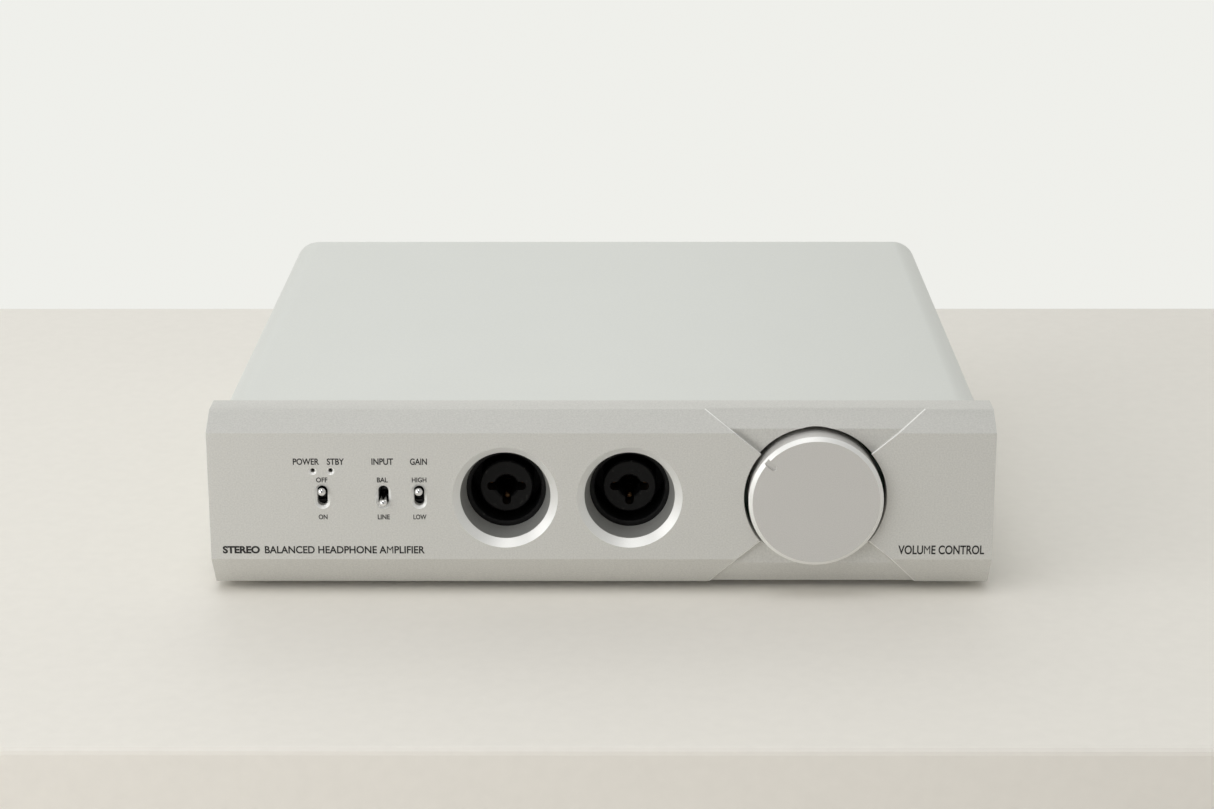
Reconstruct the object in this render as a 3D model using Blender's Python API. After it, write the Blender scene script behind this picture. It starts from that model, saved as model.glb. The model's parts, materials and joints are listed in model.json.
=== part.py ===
"""Half-width headphone amplifier in a metal case: front panel, sleeve cover, tray, rear panel,
volume control, three toggle switches, two headphone sockets, rear sockets and the boards inside.

Metres, +Z up, front facing -Y, +X to the right as the user sees the front panel.
The origin is under the middle of the whole unit, on the surface that the feet stand on.
"""

import math

import bmesh
import bpy
from mathutils import Matrix, Vector

# Overall sizes
PANEL_WIDTH = 0.2200
PANEL_HEIGHT = 0.0509
CASE_DEPTH = 0.2092        # front face of the panel to the rear edge of the cover
PANEL_OVER_FLOOR = 0.0021  # underside of the front panel above the surface

# Clearances
GAP = 0.0003               # between pieces that touch
RUNNING_GAP = 0.00008      # a shaft in its bearing, on the radius
FIT_GAP = 0.0001           # a bore on the shaft that it is fixed to
SLIDE_GAP = 0.0003         # a sliding latch in its pocket
SEAT_GAP = 0.00005         # under the head of a screw
OVERCUT = 0.0005           # how far a cutter runs past the face that it opens

# Front panel
PANEL_RIM_DEPTH = 0.0170   # front face to the rear edge of the rim
PANEL_WEB = 0.0084         # thickness of the wall behind the front face
PANEL_RIM_WALL = 0.0040
PANEL_SWITCH_WEB = 0.0030  # wall left in front of the switches
SWITCH_POCKET_MARGIN = 0.0025  # round the switches and lamps, in the pocket behind that wall
TOP_BEVEL_RISE = 0.0044
TOP_BEVEL_RUN = 0.0084
LOW_BEVEL_RISE = 0.0092
LOW_BEVEL_RUN = 0.0070
WEDGE_STEP = 0.00245       # wedge faces above and below the knob, behind the front face
WEDGE_STEP_AT_TOP = 0.0013
WEDGE_STEP_AT_BASE = 0.0010
WEDGE_ANGLE = 40.17        # degrees from level, where its sides meet the hole for the knob
WEDGE_FROM_HOLE = 0.00015
WEDGE_SPREAD = 1.19        # widening of each side for each metre of height
WEDGE_TILT_TOP = 0.28      # drop of the side walls for each metre that they run back
WEDGE_TILT_BASE = 0.41

# Where the controls sit
CONTROL_DROP = 0.0234      # below the top of the front panel
SWITCH_DROP = 0.0230
KNOB_FROM_END = 0.0500
POWER_SWITCH_FROM_END = 0.0319
INPUT_SWITCH_FROM_END = 0.0490
GAIN_SWITCH_FROM_END = 0.0590
LED_OVER_SWITCH = 0.0007   # between the power switch's body and the lamps' flanges
LED_PITCH = 0.0050
SOCKET_MIDDLE_X = -0.00945
SOCKET_PITCH = 0.0349

# Volume control
KNOB_RADIUS = 0.01885
KNOB_PROUD = 0.0039        # front of the knob in front of the panel
KNOB_BEVEL = 0.00085
KNOB_BACK = 0.0090         # rear of the knob behind the front face
KNOB_HOLLOW_RADIUS = 0.0145
KNOB_FACE_THICKNESS = 0.0060
KNOB_HUB_RADIUS = 0.0065
KNOB_HOLE_GAP = 0.00115    # ring of air round the knob
KNOB_MARK_WIDTH = 0.0017
KNOB_MARK_LENGTH = 0.0040
KNOB_MARK_DEPTH = 0.0009
KNOB_REST_ANGLE = 50.0     # degrees anticlockwise of straight up
SHAFT_RADIUS = 0.0030
BUSHING_RADIUS = 0.0045
BUSHING_LENGTH = 0.0043     # in front of the potentiometer's body
POT_RADIUS = 0.0085
POT_LENGTH = 0.0140
POT_REAR_WALL = 0.0016
NUT_RADIUS = 0.0060
NUT_THICKNESS = 0.0018
GRUB_RADIUS = 0.0014
GRUB_LENGTH = 0.0028

# Toggle switches
SLOT_WIDTH = 0.0029
SLOT_HEIGHT = 0.0059
SLOT_BEVEL = 0.00075
LEVER_PIVOT_DEPTH = 0.0065
LEVER_LENGTH = 0.0076      # pivot to the middle of the round tip
LEVER_TIP_RADIUS = 0.00112
LEVER_NECK_RADIUS = 0.00070
LEVER_BALL_RADIUS = 0.0015
LEVER_HALF_THROW = 12.5    # degrees each side of straight out
SWITCH_WIDTH = 0.0066
SWITCH_HEIGHT = 0.0100
SWITCH_COLLAR_RADIUS = 0.0027
SWITCH_BODY_FRONT = 0.0052

# Indicator lamps
LED_HOLE_RADIUS = 0.0006
LED_HOLE_BEVEL = 0.00055
LED_RADIUS = 0.0015
LED_FLANGE_RADIUS = 0.0018

# Headphone sockets
WELL_MOUTH_RADIUS = 0.0148
WELL_BEVEL = 0.0021
WELL_FOOT_MARGIN = 0.00125  # foot of the well round the bore of the socket
SOCKET_RADIUS = 0.0118
SOCKET_FLANGE_SIDE = 0.0012  # of the flange, beside the body
SOCKET_FLANGE_END = 0.0027   # of the flange, above and below the body
SOCKET_FLANGE = 0.0020
FLANGE_CORNER = 0.0030
SOCKET_LENGTH = 0.0330
SOCKET_RIM_BORE = 0.0100
SOCKET_CORE_RADIUS = 0.0076
SOCKET_CORE_INSET = 0.0016
SOCKET_GROOVE_DEPTH = 0.0150
JACK_RADIUS = 0.00325
JACK_DEPTH = 0.0300
CONTACT_WALL = 0.0006
CONTACT_LENGTH = 0.0060
CONTACT_FROM_FRONT = 0.0180
PIN_HOLE_RADIUS = 0.0012
PIN_HOLE_CIRCLE = 0.0048
PIN_HOLE_DEPTH = 0.0120

# Case
COVER_INSET = 0.0015       # sides of the cover in from the ends of the panel
COVER_DROP = 0.0004        # top of the cover below the top of the panel
COVER_WALL = 0.0016
COVER_CORNER = 0.0080
CASE_RAISE = 0.0015        # underside of the case above the underside of the panel
TRAY_WALL = 0.0012
TRAY_HEIGHT = 0.0100       # walls above the floor of the tray
BOSS_RADIUS = 0.0035
BOSS_HEIGHT = 0.0045
BOSS_FROM_CORNER = 0.0120
PANEL_BOSS_FROM_END = 0.0140
BOARD_BOSS_RADIUS = 0.0025
BOARD_BOSS_FROM_END = 0.0200
BOARD_BOSS_RISE = 0.0110
REAR_WALL = 0.0016
REAR_INSET = 0.0010        # rear panel in from the rear edge of the cover
SIDE_SCREW_FROM_ENDS = 0.0400

# Feet
FOOT_RADIUS = 0.0075
FOOT_TOP_RADIUS = 0.0080
FOOT_TAPER = 0.0010        # height of the tapered lower part
FOOT_FROM_SIDE = 0.0200
FOOT_FROM_FRONT = 0.0400
FOOT_FROM_REAR = 0.0220

# Screws
SCREW_RADIUS = 0.00125
SCREW_HEAD_RADIUS = 0.0027
SCREW_HEAD = 0.0014
SCREW_SOCKET_RADIUS = 0.0010
SCREW_SOCKET_DEPTH = 0.0008
SCREW_LENGTH = 0.0060

# Boards
BOARD = 0.0016
FRONT_BOARD_DEPTH = 0.0133
FRONT_BOARD_MARGIN = 0.0100  # ends of the front board in from the ends of the panel
FRONT_BOARD_EDGE = 0.0010  # its edges from the tray and from the rim
MAIN_BOARD_MARGIN = 0.0045 # edges of the main board in from the tray walls

# Rear sockets
BALANCED_WIDTH = 0.0260
BALANCED_HEIGHT = 0.0310
BALANCED_FLANGE = 0.0034
BALANCED_RADIUS = 0.0117
BALANCED_BORE = 0.0098
BALANCED_CORE = 0.0078
BALANCED_CORE_INSET = 0.0020
BALANCED_DEPTH = 0.0200
BALANCED_GROOVE = 0.0150
BALANCED_SCREW_X = 0.0095
BALANCED_SCREW_Z = 0.0120
BALANCED_SCREW_LENGTH = 0.0080
BALANCED_FROM_MIDDLE = 0.0720
BALANCED_PITCH = 0.0310
LATCH_WIDTH = 0.0074
LATCH_HEIGHT = 0.0026
LATCH_CORNER = 0.0008
LATCH_RISE = 0.0125
LATCH_POCKET = 0.0027
LATCH_THICKNESS = 0.0026
LATCH_TRAVEL = 0.0012
PHONO_RADIUS = 0.00415
PHONO_WALL = 0.00070
PHONO_PROUD = 0.0083
PHONO_NUT_RADIUS = 0.0060
PHONO_NUT = 0.0016
PHONO_PIN_DEPTH = 0.0090
PHONO_SHELL_TAIL = 0.0028   # behind the rear panel
PHONO_INSULATOR_TAIL = 0.0030
PHONO_PIN_BORE = 0.00165
PHONO_INSET = 0.0007       # insulator in from the end of the barrel
PHONO_COLUMNS_X = (-0.0100, 0.0080)
PHONO_ROW_PITCH = 0.0200
PHONO_RISE = 0.0030        # middle of the phono sockets above the middle of the rear panel
INLET_SIZE = 0.0110
INLET_DEPTH = 0.0120
INLET_NOSE_RADIUS = 0.0042
INLET_BORE_DEPTH = 0.0090
INLET_RADIUS = 0.0032
INLET_PIN_RADIUS = 0.00105
INLET_PIN_INSET = 0.0010
INLET_FROM_END = 0.0260

# Parts on the main board
SINK_WIDTH = 0.0400
SINK_HEIGHT = 0.0250
SINK_BASE = 0.0030
SINK_FIN = 0.0014
SINK_REACH = 0.0300       # along the case
SINK_FINS = 7
SINK_FROM_MIDDLE = 0.0280
CAPACITOR_RADIUS = 0.0080
CAPACITOR_HEIGHT = 0.0250
CAPACITOR_BEVEL = 0.0008
INNER_SPACE = 0.0080        # between the larger parts on the main board
RELAY_SIZE = (0.0200, 0.0130, 0.0150)
RIBBON_WIDTH = 0.0200
RIBBON = 0.0008
RIBBON_RISE = 0.0048        # above the rim of the tray
RIBBON_FROM_EDGE = 0.0040   # of the main board

# Places worked out from the sizes
PHONO_REACH = CASE_DEPTH - REAR_INSET + PHONO_PROUD
WHOLE_DEPTH = KNOB_PROUD + PHONO_REACH
FACE_Y = KNOB_PROUD - WHOLE_DEPTH / 2
PANEL_BOTTOM = PANEL_OVER_FLOOR
PANEL_TOP = PANEL_BOTTOM + PANEL_HEIGHT
HALF_WIDTH = PANEL_WIDTH / 2
WEB_Y = FACE_Y + PANEL_WEB
RIM_Y = FACE_Y + PANEL_RIM_DEPTH
CONTROL_Z = PANEL_TOP - CONTROL_DROP
SWITCH_Z = PANEL_TOP - SWITCH_DROP
LED_Z = SWITCH_Z + SWITCH_HEIGHT / 2 + LED_OVER_SWITCH + LED_FLANGE_RADIUS
KNOB_X = HALF_WIDTH - KNOB_FROM_END
KNOB_HOLE_RADIUS = KNOB_RADIUS + KNOB_HOLE_GAP
WELL_FOOT_RADIUS = SOCKET_RIM_BORE + WELL_FOOT_MARGIN
SOCKET_FLANGE_WIDTH = 2 * (SOCKET_RADIUS + SOCKET_FLANGE_SIDE)
SOCKET_FLANGE_HEIGHT = 2 * (SOCKET_RADIUS + SOCKET_FLANGE_END)
CASE_HALF_WIDTH = HALF_WIDTH - COVER_INSET
CASE_BOTTOM = PANEL_BOTTOM + CASE_RAISE
CASE_TOP = PANEL_TOP - COVER_DROP
CASE_FRONT = RIM_Y + GAP
CASE_REAR = FACE_Y + CASE_DEPTH
INNER_HALF_WIDTH = CASE_HALF_WIDTH - COVER_WALL - GAP
TRAY_TOP = CASE_BOTTOM + TRAY_WALL
REAR_FACE_Y = CASE_REAR - REAR_INSET
REAR_INNER_Y = REAR_FACE_Y - REAR_WALL
MAIN_BOARD_Z = TRAY_TOP + BOSS_HEIGHT + GAP
MAIN_BOARD_TOP = MAIN_BOARD_Z + BOARD
FRONT_BOARD_Y = FACE_Y + FRONT_BOARD_DEPTH
FRONT_BOARD_BACK = FRONT_BOARD_Y + BOARD
REAR_Z = CASE_BOTTOM + (CASE_TOP - CASE_BOTTOM) / 2
SCREW_Z = TRAY_TOP + TRAY_HEIGHT / 2
SCREW_HOLE_RADIUS = SCREW_RADIUS + GAP
TRAY_REAR_Y = REAR_INNER_Y - GAP
TRAY_RIM_Z = TRAY_TOP + TRAY_HEIGHT
SOCKET_FRONT_Y = WEB_Y + GAP
BALANCED_FRONT_Y = REAR_FACE_Y + GAP + BALANCED_FLANGE
SWITCHES = (
    ("power", -HALF_WIDTH + POWER_SWITCH_FROM_END, 1),
    ("input", -HALF_WIDTH + INPUT_SWITCH_FROM_END, -1),
    ("gain", -HALF_WIDTH + GAIN_SWITCH_FROM_END, 1),
)
POWER_X = SWITCHES[0][1]
GAIN_X = SWITCHES[2][1]
SOCKETS_X = (
    ("left", SOCKET_MIDDLE_X - SOCKET_PITCH / 2),
    ("right", SOCKET_MIDDLE_X + SOCKET_PITCH / 2),
)


def clear_scene():
    for obj in list(bpy.data.objects):
        bpy.data.objects.remove(obj, do_unlink=True)


def finish(name, colour, roughness, metallic):
    """A plain Principled material."""
    material = bpy.data.materials.new(name)
    material.use_nodes = True
    shader = material.node_tree.nodes["Principled BSDF"]
    shader.inputs["Base Color"].default_value = (*colour, 1.0)
    shader.inputs["Roughness"].default_value = roughness
    shader.inputs["Metallic"].default_value = metallic
    material.diffuse_color = (*colour, 1.0)
    return material


def place(axis, u, v, along):
    """A point from its place along an axis and its two places across it, in X, Y, Z order."""
    if axis == "X":
        return Vector((along, u, v))
    if axis == "Y":
        return Vector((u, along, v))
    return Vector((u, v, along))


def loft(axis, sections):
    """A closed solid through outlines of equal length; a section is (outline, place along the axis)."""
    mesh = bmesh.new()
    rings = [
        [mesh.verts.new(place(axis, u, v, along)) for u, v in outline]
        for outline, along in sections
    ]
    count = len(rings[0])
    for ring, following in zip(rings, rings[1:]):
        for i in range(count):
            j = (i + 1) % count
            mesh.faces.new((ring[i], ring[j], following[j], following[i]))
    mesh.faces.new(rings[0])
    mesh.faces.new(rings[-1])
    bmesh.ops.recalc_face_normals(mesh, faces=mesh.faces)
    return mesh


def prism(axis, outline, start, end):
    return loft(axis, ((outline, start), (outline, end)))


def block(low, high):
    outline = ((low[0], low[1]), (high[0], low[1]), (high[0], high[1]), (low[0], high[1]))
    return prism("Z", outline, low[2], high[2])


def turned(axis, centre, profile, segments):
    """A closed solid of revolution from a closed profile of (radius, place along the axis)."""
    mesh = bmesh.new()
    rings = []
    for radius, along in profile:
        if radius == 0:
            rings.append([mesh.verts.new(place(axis, centre[0], centre[1], along))])
            continue
        ring = []
        for i in range(segments):
            angle = 2 * math.pi * (i + 0.5) / segments
            u = centre[0] + radius * math.cos(angle)
            v = centre[1] + radius * math.sin(angle)
            ring.append(mesh.verts.new(place(axis, u, v, along)))
        rings.append(ring)
    for ring, following in zip(rings, rings[1:] + rings[:1]):
        for i in range(segments):
            j = (i + 1) % segments
            corners = [ring[i % len(ring)], ring[j % len(ring)]]
            corners += [following[j % len(following)], following[i % len(following)]]
            corners = list(dict.fromkeys(corners))
            if len(corners) > 2:
                mesh.faces.new(corners)
    bmesh.ops.recalc_face_normals(mesh, faces=mesh.faces)
    return mesh


def rod(axis, centre, radius, start, end, segments=24):
    profile = ((0, start), (radius, start), (radius, end), (0, end))
    return turned(axis, centre, profile, segments)


def slot_outline(centre, width, height, steps=6):
    """An upright slot with round ends."""
    radius = width / 2
    straight = height / 2 - radius
    outline = []
    for side, start in ((1, 0), (-1, 180)):
        for i in range(steps + 1):
            angle = math.radians(start + 180 * i / steps)
            u = centre[0] + radius * math.cos(angle)
            v = centre[1] + side * straight + radius * math.sin(angle)
            outline.append((u, v))
    return outline


def round_corners(centre, width, height, radius, steps=4):
    outline = []
    for k, (su, sv) in enumerate(((1, 1), (-1, 1), (-1, -1), (1, -1))):
        for i in range(steps + 1):
            angle = math.radians(90 * k + 90 * i / steps)
            u = centre[0] + su * (width / 2 - radius) + radius * math.cos(angle)
            v = centre[1] + sv * (height / 2 - radius) + radius * math.sin(angle)
            outline.append((u, v))
    return outline


def piece(name, mesh, material, origin=(0.0, 0.0, 0.0)):
    """Makes the named object. Its mesh is modelled in place, and its origin is put at the given point."""
    data = bpy.data.meshes.new(name)
    mesh.transform(Matrix.Translation(-Vector(origin)))
    mesh.to_mesh(data)
    mesh.free()
    data.materials.append(material)
    data.shade_smooth()
    data.set_sharp_from_angle(angle=math.radians(30))
    obj = bpy.data.objects.new(name, data)
    obj.location = origin
    bpy.context.collection.objects.link(obj)
    return obj


def helper(name, mesh):
    """A hidden solid that a Boolean uses."""
    data = bpy.data.meshes.new(name)
    mesh.to_mesh(data)
    mesh.free()
    obj = bpy.data.objects.new(name, data)
    obj.hide_render = True
    obj.display_type = "WIRE"
    bpy.context.collection.objects.link(obj)
    return obj


def combine(obj, operation, meshes):
    for number, mesh in enumerate(meshes):
        label = f"{obj.name}_{operation.lower()}_{number}"
        modifier = obj.modifiers.new(label, "BOOLEAN")
        modifier.operation = operation
        modifier.object = helper(label, mesh)


def cut(obj, *meshes):
    combine(obj, "DIFFERENCE", meshes)


def add(obj, *meshes):
    combine(obj, "UNION", meshes)


def screw(name, axis, centre, seat, direction, material, length=SCREW_LENGTH):
    """A pan-head screw whose head sits on a face at seat, with its shank running along direction."""
    top = seat - direction * SCREW_HEAD
    floor = top + direction * SCREW_SOCKET_DEPTH
    profile = (
        (0, floor),
        (SCREW_SOCKET_RADIUS, floor),
        (SCREW_SOCKET_RADIUS, top),
        (SCREW_HEAD_RADIUS - SCREW_HEAD / 2, top),
        (SCREW_HEAD_RADIUS, seat - direction * SCREW_HEAD / 2),
        (SCREW_HEAD_RADIUS, seat),
        (SCREW_RADIUS, seat),
        (SCREW_RADIUS, seat + direction * length),
        (0, seat + direction * length),
    )
    return piece(name, turned(axis, centre, profile, 12), material)


def trim(mesh, point, outward):
    """Cuts a solid off at a plane and closes it there."""
    geometry = mesh.verts[:] + mesh.edges[:] + mesh.faces[:]
    result = bmesh.ops.bisect_plane(
        mesh, geom=geometry, dist=1e-7, plane_co=point, plane_no=outward, clear_outer=True
    )
    edges = [item for item in result["geom_cut"] if isinstance(item, bmesh.types.BMEdge)]
    bmesh.ops.edgeloop_fill(mesh, edges=edges)
    bmesh.ops.recalc_face_normals(mesh, faces=mesh.faces)


def wedge(up, edge_z, rise, run, edge_step, tilt):
    """What is cut away for the wedge-shaped face above (up = 1) or below (up = -1) the knob."""
    beyond = 0.004
    slope = run / rise
    break_z = edge_z - up * (run + edge_step - WEDGE_STEP) / slope
    front = FACE_Y - beyond
    outline = (
        (front, CONTROL_Z),
        (FACE_Y + WEDGE_STEP, CONTROL_Z),
        (FACE_Y + WEDGE_STEP, break_z),
        (FACE_Y + run + edge_step + beyond * slope, edge_z + up * beyond),
        (front, edge_z + up * beyond),
    )
    mesh = prism("X", outline, KNOB_X - HALF_WIDTH, KNOB_X + HALF_WIDTH)
    reach = KNOB_HOLE_RADIUS + WEDGE_FROM_HOLE
    for side in (-1, 1):
        across = side * reach * math.cos(math.radians(WEDGE_ANGLE))
        height = up * reach * math.sin(math.radians(WEDGE_ANGLE))
        corner = Vector((KNOB_X + across, FACE_Y, CONTROL_Z + height))
        outward = Vector((side, -up * WEDGE_SPREAD * tilt, -up * WEDGE_SPREAD))
        trim(mesh, corner, outward)
    return mesh


def make_front_panel(material):
    outline = (
        (FACE_Y, PANEL_BOTTOM + LOW_BEVEL_RISE),
        (FACE_Y + LOW_BEVEL_RUN, PANEL_BOTTOM),
        (RIM_Y, PANEL_BOTTOM),
        (RIM_Y, PANEL_TOP),
        (FACE_Y + TOP_BEVEL_RUN, PANEL_TOP),
        (FACE_Y, PANEL_TOP - TOP_BEVEL_RISE),
    )
    panel = piece("front_panel", prism("X", outline, -HALF_WIDTH, HALF_WIDTH), material)
    rim = PANEL_RIM_WALL
    pocket = block(
        (-HALF_WIDTH + rim, WEB_Y, PANEL_BOTTOM + rim),
        (HALF_WIDTH - rim, RIM_Y + OVERCUT, PANEL_TOP - rim),
    )
    room = SWITCH_WIDTH / 2 + SWITCH_POCKET_MARGIN
    switch_pocket = block(
        (POWER_X - room, FACE_Y + PANEL_SWITCH_WEB, SWITCH_Z - SWITCH_HEIGHT / 2 - SWITCH_POCKET_MARGIN),
        (GAIN_X + room, WEB_Y + OVERCUT, LED_Z + LED_FLANGE_RADIUS + SWITCH_POCKET_MARGIN / 2),
    )
    cut(panel, pocket, switch_pocket)
    bosses = []
    for side in (-1, 1):
        x = side * (HALF_WIDTH - PANEL_BOSS_FROM_END)
        bosses.append(rod("Y", (x, SCREW_Z), BOSS_RADIUS, WEB_Y - GAP, RIM_Y, 14))
        x = side * (HALF_WIDTH - BOARD_BOSS_FROM_END)
        for up in (-1, 1):
            centre = (x, CONTROL_Z + up * BOARD_BOSS_RISE)
            boss = rod("Y", centre, BOARD_BOSS_RADIUS, WEB_Y - GAP, FRONT_BOARD_Y - GAP, 12)
            bosses.append(boss)
    add(panel, *bosses)
    cut(
        panel,
        wedge(1, PANEL_TOP, TOP_BEVEL_RISE, TOP_BEVEL_RUN, WEDGE_STEP_AT_TOP, WEDGE_TILT_TOP),
        wedge(-1, PANEL_BOTTOM, LOW_BEVEL_RISE, LOW_BEVEL_RUN, WEDGE_STEP_AT_BASE, WEDGE_TILT_BASE),
        rod("Y", (KNOB_X, CONTROL_Z), KNOB_HOLE_RADIUS, FACE_Y - OVERCUT, RIM_Y, 64),
    )
    for _, x in SOCKETS_X:
        well = (
            (0, FACE_Y - OVERCUT),
            (WELL_MOUTH_RADIUS + OVERCUT, FACE_Y - OVERCUT),
            (WELL_MOUTH_RADIUS - WELL_BEVEL, FACE_Y + WELL_BEVEL),
            (WELL_FOOT_RADIUS, WEB_Y),
            (WELL_FOOT_RADIUS, WEB_Y + OVERCUT),
            (0, WEB_Y + OVERCUT),
        )
        cut(panel, turned("Y", (x, CONTROL_Z), well, 48))
    for _, x, _ in SWITCHES:
        centre = (x, SWITCH_Z)
        narrow = slot_outline(centre, SLOT_WIDTH, SLOT_HEIGHT)
        wide = SLOT_WIDTH + 2 * (SLOT_BEVEL + OVERCUT)
        tall = SLOT_HEIGHT + 2 * (SLOT_BEVEL + OVERCUT)
        mouth = slot_outline(centre, wide, tall)
        sections = (
            (mouth, FACE_Y - OVERCUT),
            (narrow, FACE_Y + SLOT_BEVEL),
            (narrow, FACE_Y + PANEL_SWITCH_WEB + OVERCUT),
        )
        cut(panel, loft("Y", sections))
    for x in led_places():
        hole = (
            (0, FACE_Y - OVERCUT),
            (LED_HOLE_RADIUS + LED_HOLE_BEVEL + OVERCUT, FACE_Y - OVERCUT),
            (LED_HOLE_RADIUS, FACE_Y + LED_HOLE_BEVEL),
            (LED_HOLE_RADIUS, FACE_Y + PANEL_SWITCH_WEB + OVERCUT),
            (0, FACE_Y + PANEL_SWITCH_WEB + OVERCUT),
        )
        cut(panel, turned("Y", (x, LED_Z), hole, 12))
    for side in (-1, 1):
        centre = (side * (HALF_WIDTH - PANEL_BOSS_FROM_END), SCREW_Z)
        depth = SCREW_LENGTH + GAP - TRAY_WALL
        cut(panel, rod("Y", centre, SCREW_HOLE_RADIUS, RIM_Y - depth, RIM_Y + OVERCUT, 12))


def led_places():
    return (POWER_X - LED_PITCH / 2, POWER_X + LED_PITCH / 2)


def case_outline(half_width, top, corner, bottom):
    """Upright section of the case, from its lower right corner over the top to the lower left one."""
    outline = [(half_width, bottom)]
    for side, start in ((1, 0), (-1, 90)):
        for i in range(9):
            angle = math.radians(start + 90 * i / 8)
            u = side * (half_width - corner) + corner * math.cos(angle)
            outline.append((u, top - corner + corner * math.sin(angle)))
    outline.append((-half_width, bottom))
    return outline


def side_screw_places():
    return (CASE_FRONT + SIDE_SCREW_FROM_ENDS, CASE_REAR - SIDE_SCREW_FROM_ENDS)


def make_cover(material):
    outer = case_outline(CASE_HALF_WIDTH, CASE_TOP, COVER_CORNER, CASE_BOTTOM)
    inner_half = CASE_HALF_WIDTH - COVER_WALL
    inner = case_outline(inner_half, CASE_TOP - COVER_WALL, COVER_CORNER - COVER_WALL, CASE_BOTTOM)
    cover = piece("top_cover", prism("Y", outer + inner[::-1], CASE_FRONT, CASE_REAR), material)
    for y in side_screw_places():
        for side in (-1, 1):
            ends = sorted((side * (CASE_HALF_WIDTH + OVERCUT), side * (inner_half - COVER_WALL)))
            cut(cover, rod("X", (y, SCREW_Z), SCREW_HOLE_RADIUS, *ends, 12))


def boss_places():
    x = INNER_HALF_WIDTH - TRAY_WALL - MAIN_BOARD_MARGIN - BOSS_FROM_CORNER
    front = CASE_FRONT + TRAY_WALL + MAIN_BOARD_MARGIN + BOSS_FROM_CORNER
    rear = TRAY_REAR_Y - TRAY_WALL - MAIN_BOARD_MARGIN - BOSS_FROM_CORNER
    return [(side * x, y) for side in (-1, 1) for y in (front, rear)]


def make_tray(material):
    wall = TRAY_WALL
    low = (-INNER_HALF_WIDTH, CASE_FRONT, CASE_BOTTOM)
    high = (INNER_HALF_WIDTH, TRAY_REAR_Y, TRAY_RIM_Z)
    tray = piece("base_tray", block(low, high), material)
    inside_low = (-INNER_HALF_WIDTH + wall, CASE_FRONT + wall, TRAY_TOP)
    inside_high = (INNER_HALF_WIDTH - wall, TRAY_REAR_Y - wall, TRAY_RIM_Z + wall)
    cut(tray, block(inside_low, inside_high))
    for spot in boss_places():
        add(tray, rod("Z", spot, BOSS_RADIUS, TRAY_TOP - wall / 2, TRAY_TOP + BOSS_HEIGHT, 14))
    for y in side_screw_places():
        for side in (-1, 1):
            ends = sorted((side * (INNER_HALF_WIDTH + wall), side * (INNER_HALF_WIDTH - 2 * wall)))
            cut(tray, rod("X", (y, SCREW_Z), SCREW_HOLE_RADIUS, *ends, 12))
    for side in (-1, 1):
        front = (side * (HALF_WIDTH - PANEL_BOSS_FROM_END), SCREW_Z)
        cut(tray, rod("Y", front, SCREW_HOLE_RADIUS, CASE_FRONT - wall, CASE_FRONT + 2 * wall, 12))
        rear = (side * rear_screw_x(), SCREW_Z)
        cut(tray, rod("Y", rear, SCREW_HOLE_RADIUS, TRAY_REAR_Y - 2 * wall, TRAY_REAR_Y + wall, 12))


def rear_screw_x():
    return INNER_HALF_WIDTH - PANEL_BOSS_FROM_END


def balanced_places():
    return (("left", -BALANCED_FROM_MIDDLE), ("right", -BALANCED_FROM_MIDDLE + BALANCED_PITCH))


def phono_places():
    spots = []
    for use, x in zip(("input", "output"), PHONO_COLUMNS_X):
        for side, up in (("left", 1), ("right", -1)):
            spots.append((f"{use}_{side}", x, REAR_Z + PHONO_RISE + up * PHONO_ROW_PITCH / 2))
    return spots


def inlet_place():
    return (HALF_WIDTH - INLET_FROM_END, REAR_Z)


def balanced_screws(x):
    return [(x + s * BALANCED_SCREW_X, REAR_Z - s * BALANCED_SCREW_Z) for s in (-1, 1)]


def make_rear_panel(material):
    inset = COVER_WALL + GAP
    outline = case_outline(
        CASE_HALF_WIDTH - inset, CASE_TOP - inset, COVER_CORNER - inset, CASE_BOTTOM
    )
    panel = piece("rear_panel", prism("Y", outline, REAR_INNER_Y, REAR_FACE_Y), material)
    ends = (REAR_INNER_Y - OVERCUT, REAR_FACE_Y + OVERCUT)
    for _, x in balanced_places():
        cut(panel, rod("Y", (x, REAR_Z), BALANCED_RADIUS + GAP, *ends, 32))
        for spot in balanced_screws(x):
            cut(panel, rod("Y", spot, SCREW_HOLE_RADIUS, *ends, 12))
    for _, x, z in phono_places():
        cut(panel, rod("Y", (x, z), PHONO_RADIUS + GAP, *ends, 20))
    cut(panel, rod("Y", inlet_place(), INLET_NOSE_RADIUS + GAP, *ends, 20))
    for side in (-1, 1):
        cut(panel, rod("Y", (side * rear_screw_x(), SCREW_Z), SCREW_HOLE_RADIUS, *ends, 12))


def make_feet(material):
    top = CASE_BOTTOM - GAP
    profile = (
        (0, 0),
        (FOOT_RADIUS, 0),
        (FOOT_TOP_RADIUS, FOOT_TAPER),
        (FOOT_TOP_RADIUS, top),
        (0, top),
    )
    rows = (("front", CASE_FRONT + FOOT_FROM_FRONT), ("rear", CASE_REAR - FOOT_FROM_REAR))
    for row, y in rows:
        for side, sign in (("left", -1), ("right", 1)):
            spot = (sign * (CASE_HALF_WIDTH - FOOT_FROM_SIDE), y)
            piece(f"foot_{row}_{side}", turned("Z", spot, profile, 24), material)


def make_screws(material):
    for row, y in zip(("front", "rear"), side_screw_places()):
        for side, sign in (("left", -1), ("right", 1)):
            seat = sign * (CASE_HALF_WIDTH + SEAT_GAP)
            screw(f"cover_screw_{row}_{side}", "X", (y, SCREW_Z), seat, -sign, material)
    for side, sign in (("left", -1), ("right", 1)):
        spot = (sign * rear_screw_x(), SCREW_Z)
        screw(f"rear_panel_screw_{side}", "Y", spot, REAR_FACE_Y + SEAT_GAP, -1, material)
        spot = (sign * (HALF_WIDTH - PANEL_BOSS_FROM_END), SCREW_Z)
        seat = CASE_FRONT + TRAY_WALL + SEAT_GAP
        screw(f"front_panel_screw_{side}", "Y", spot, seat, -1, material)


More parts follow.
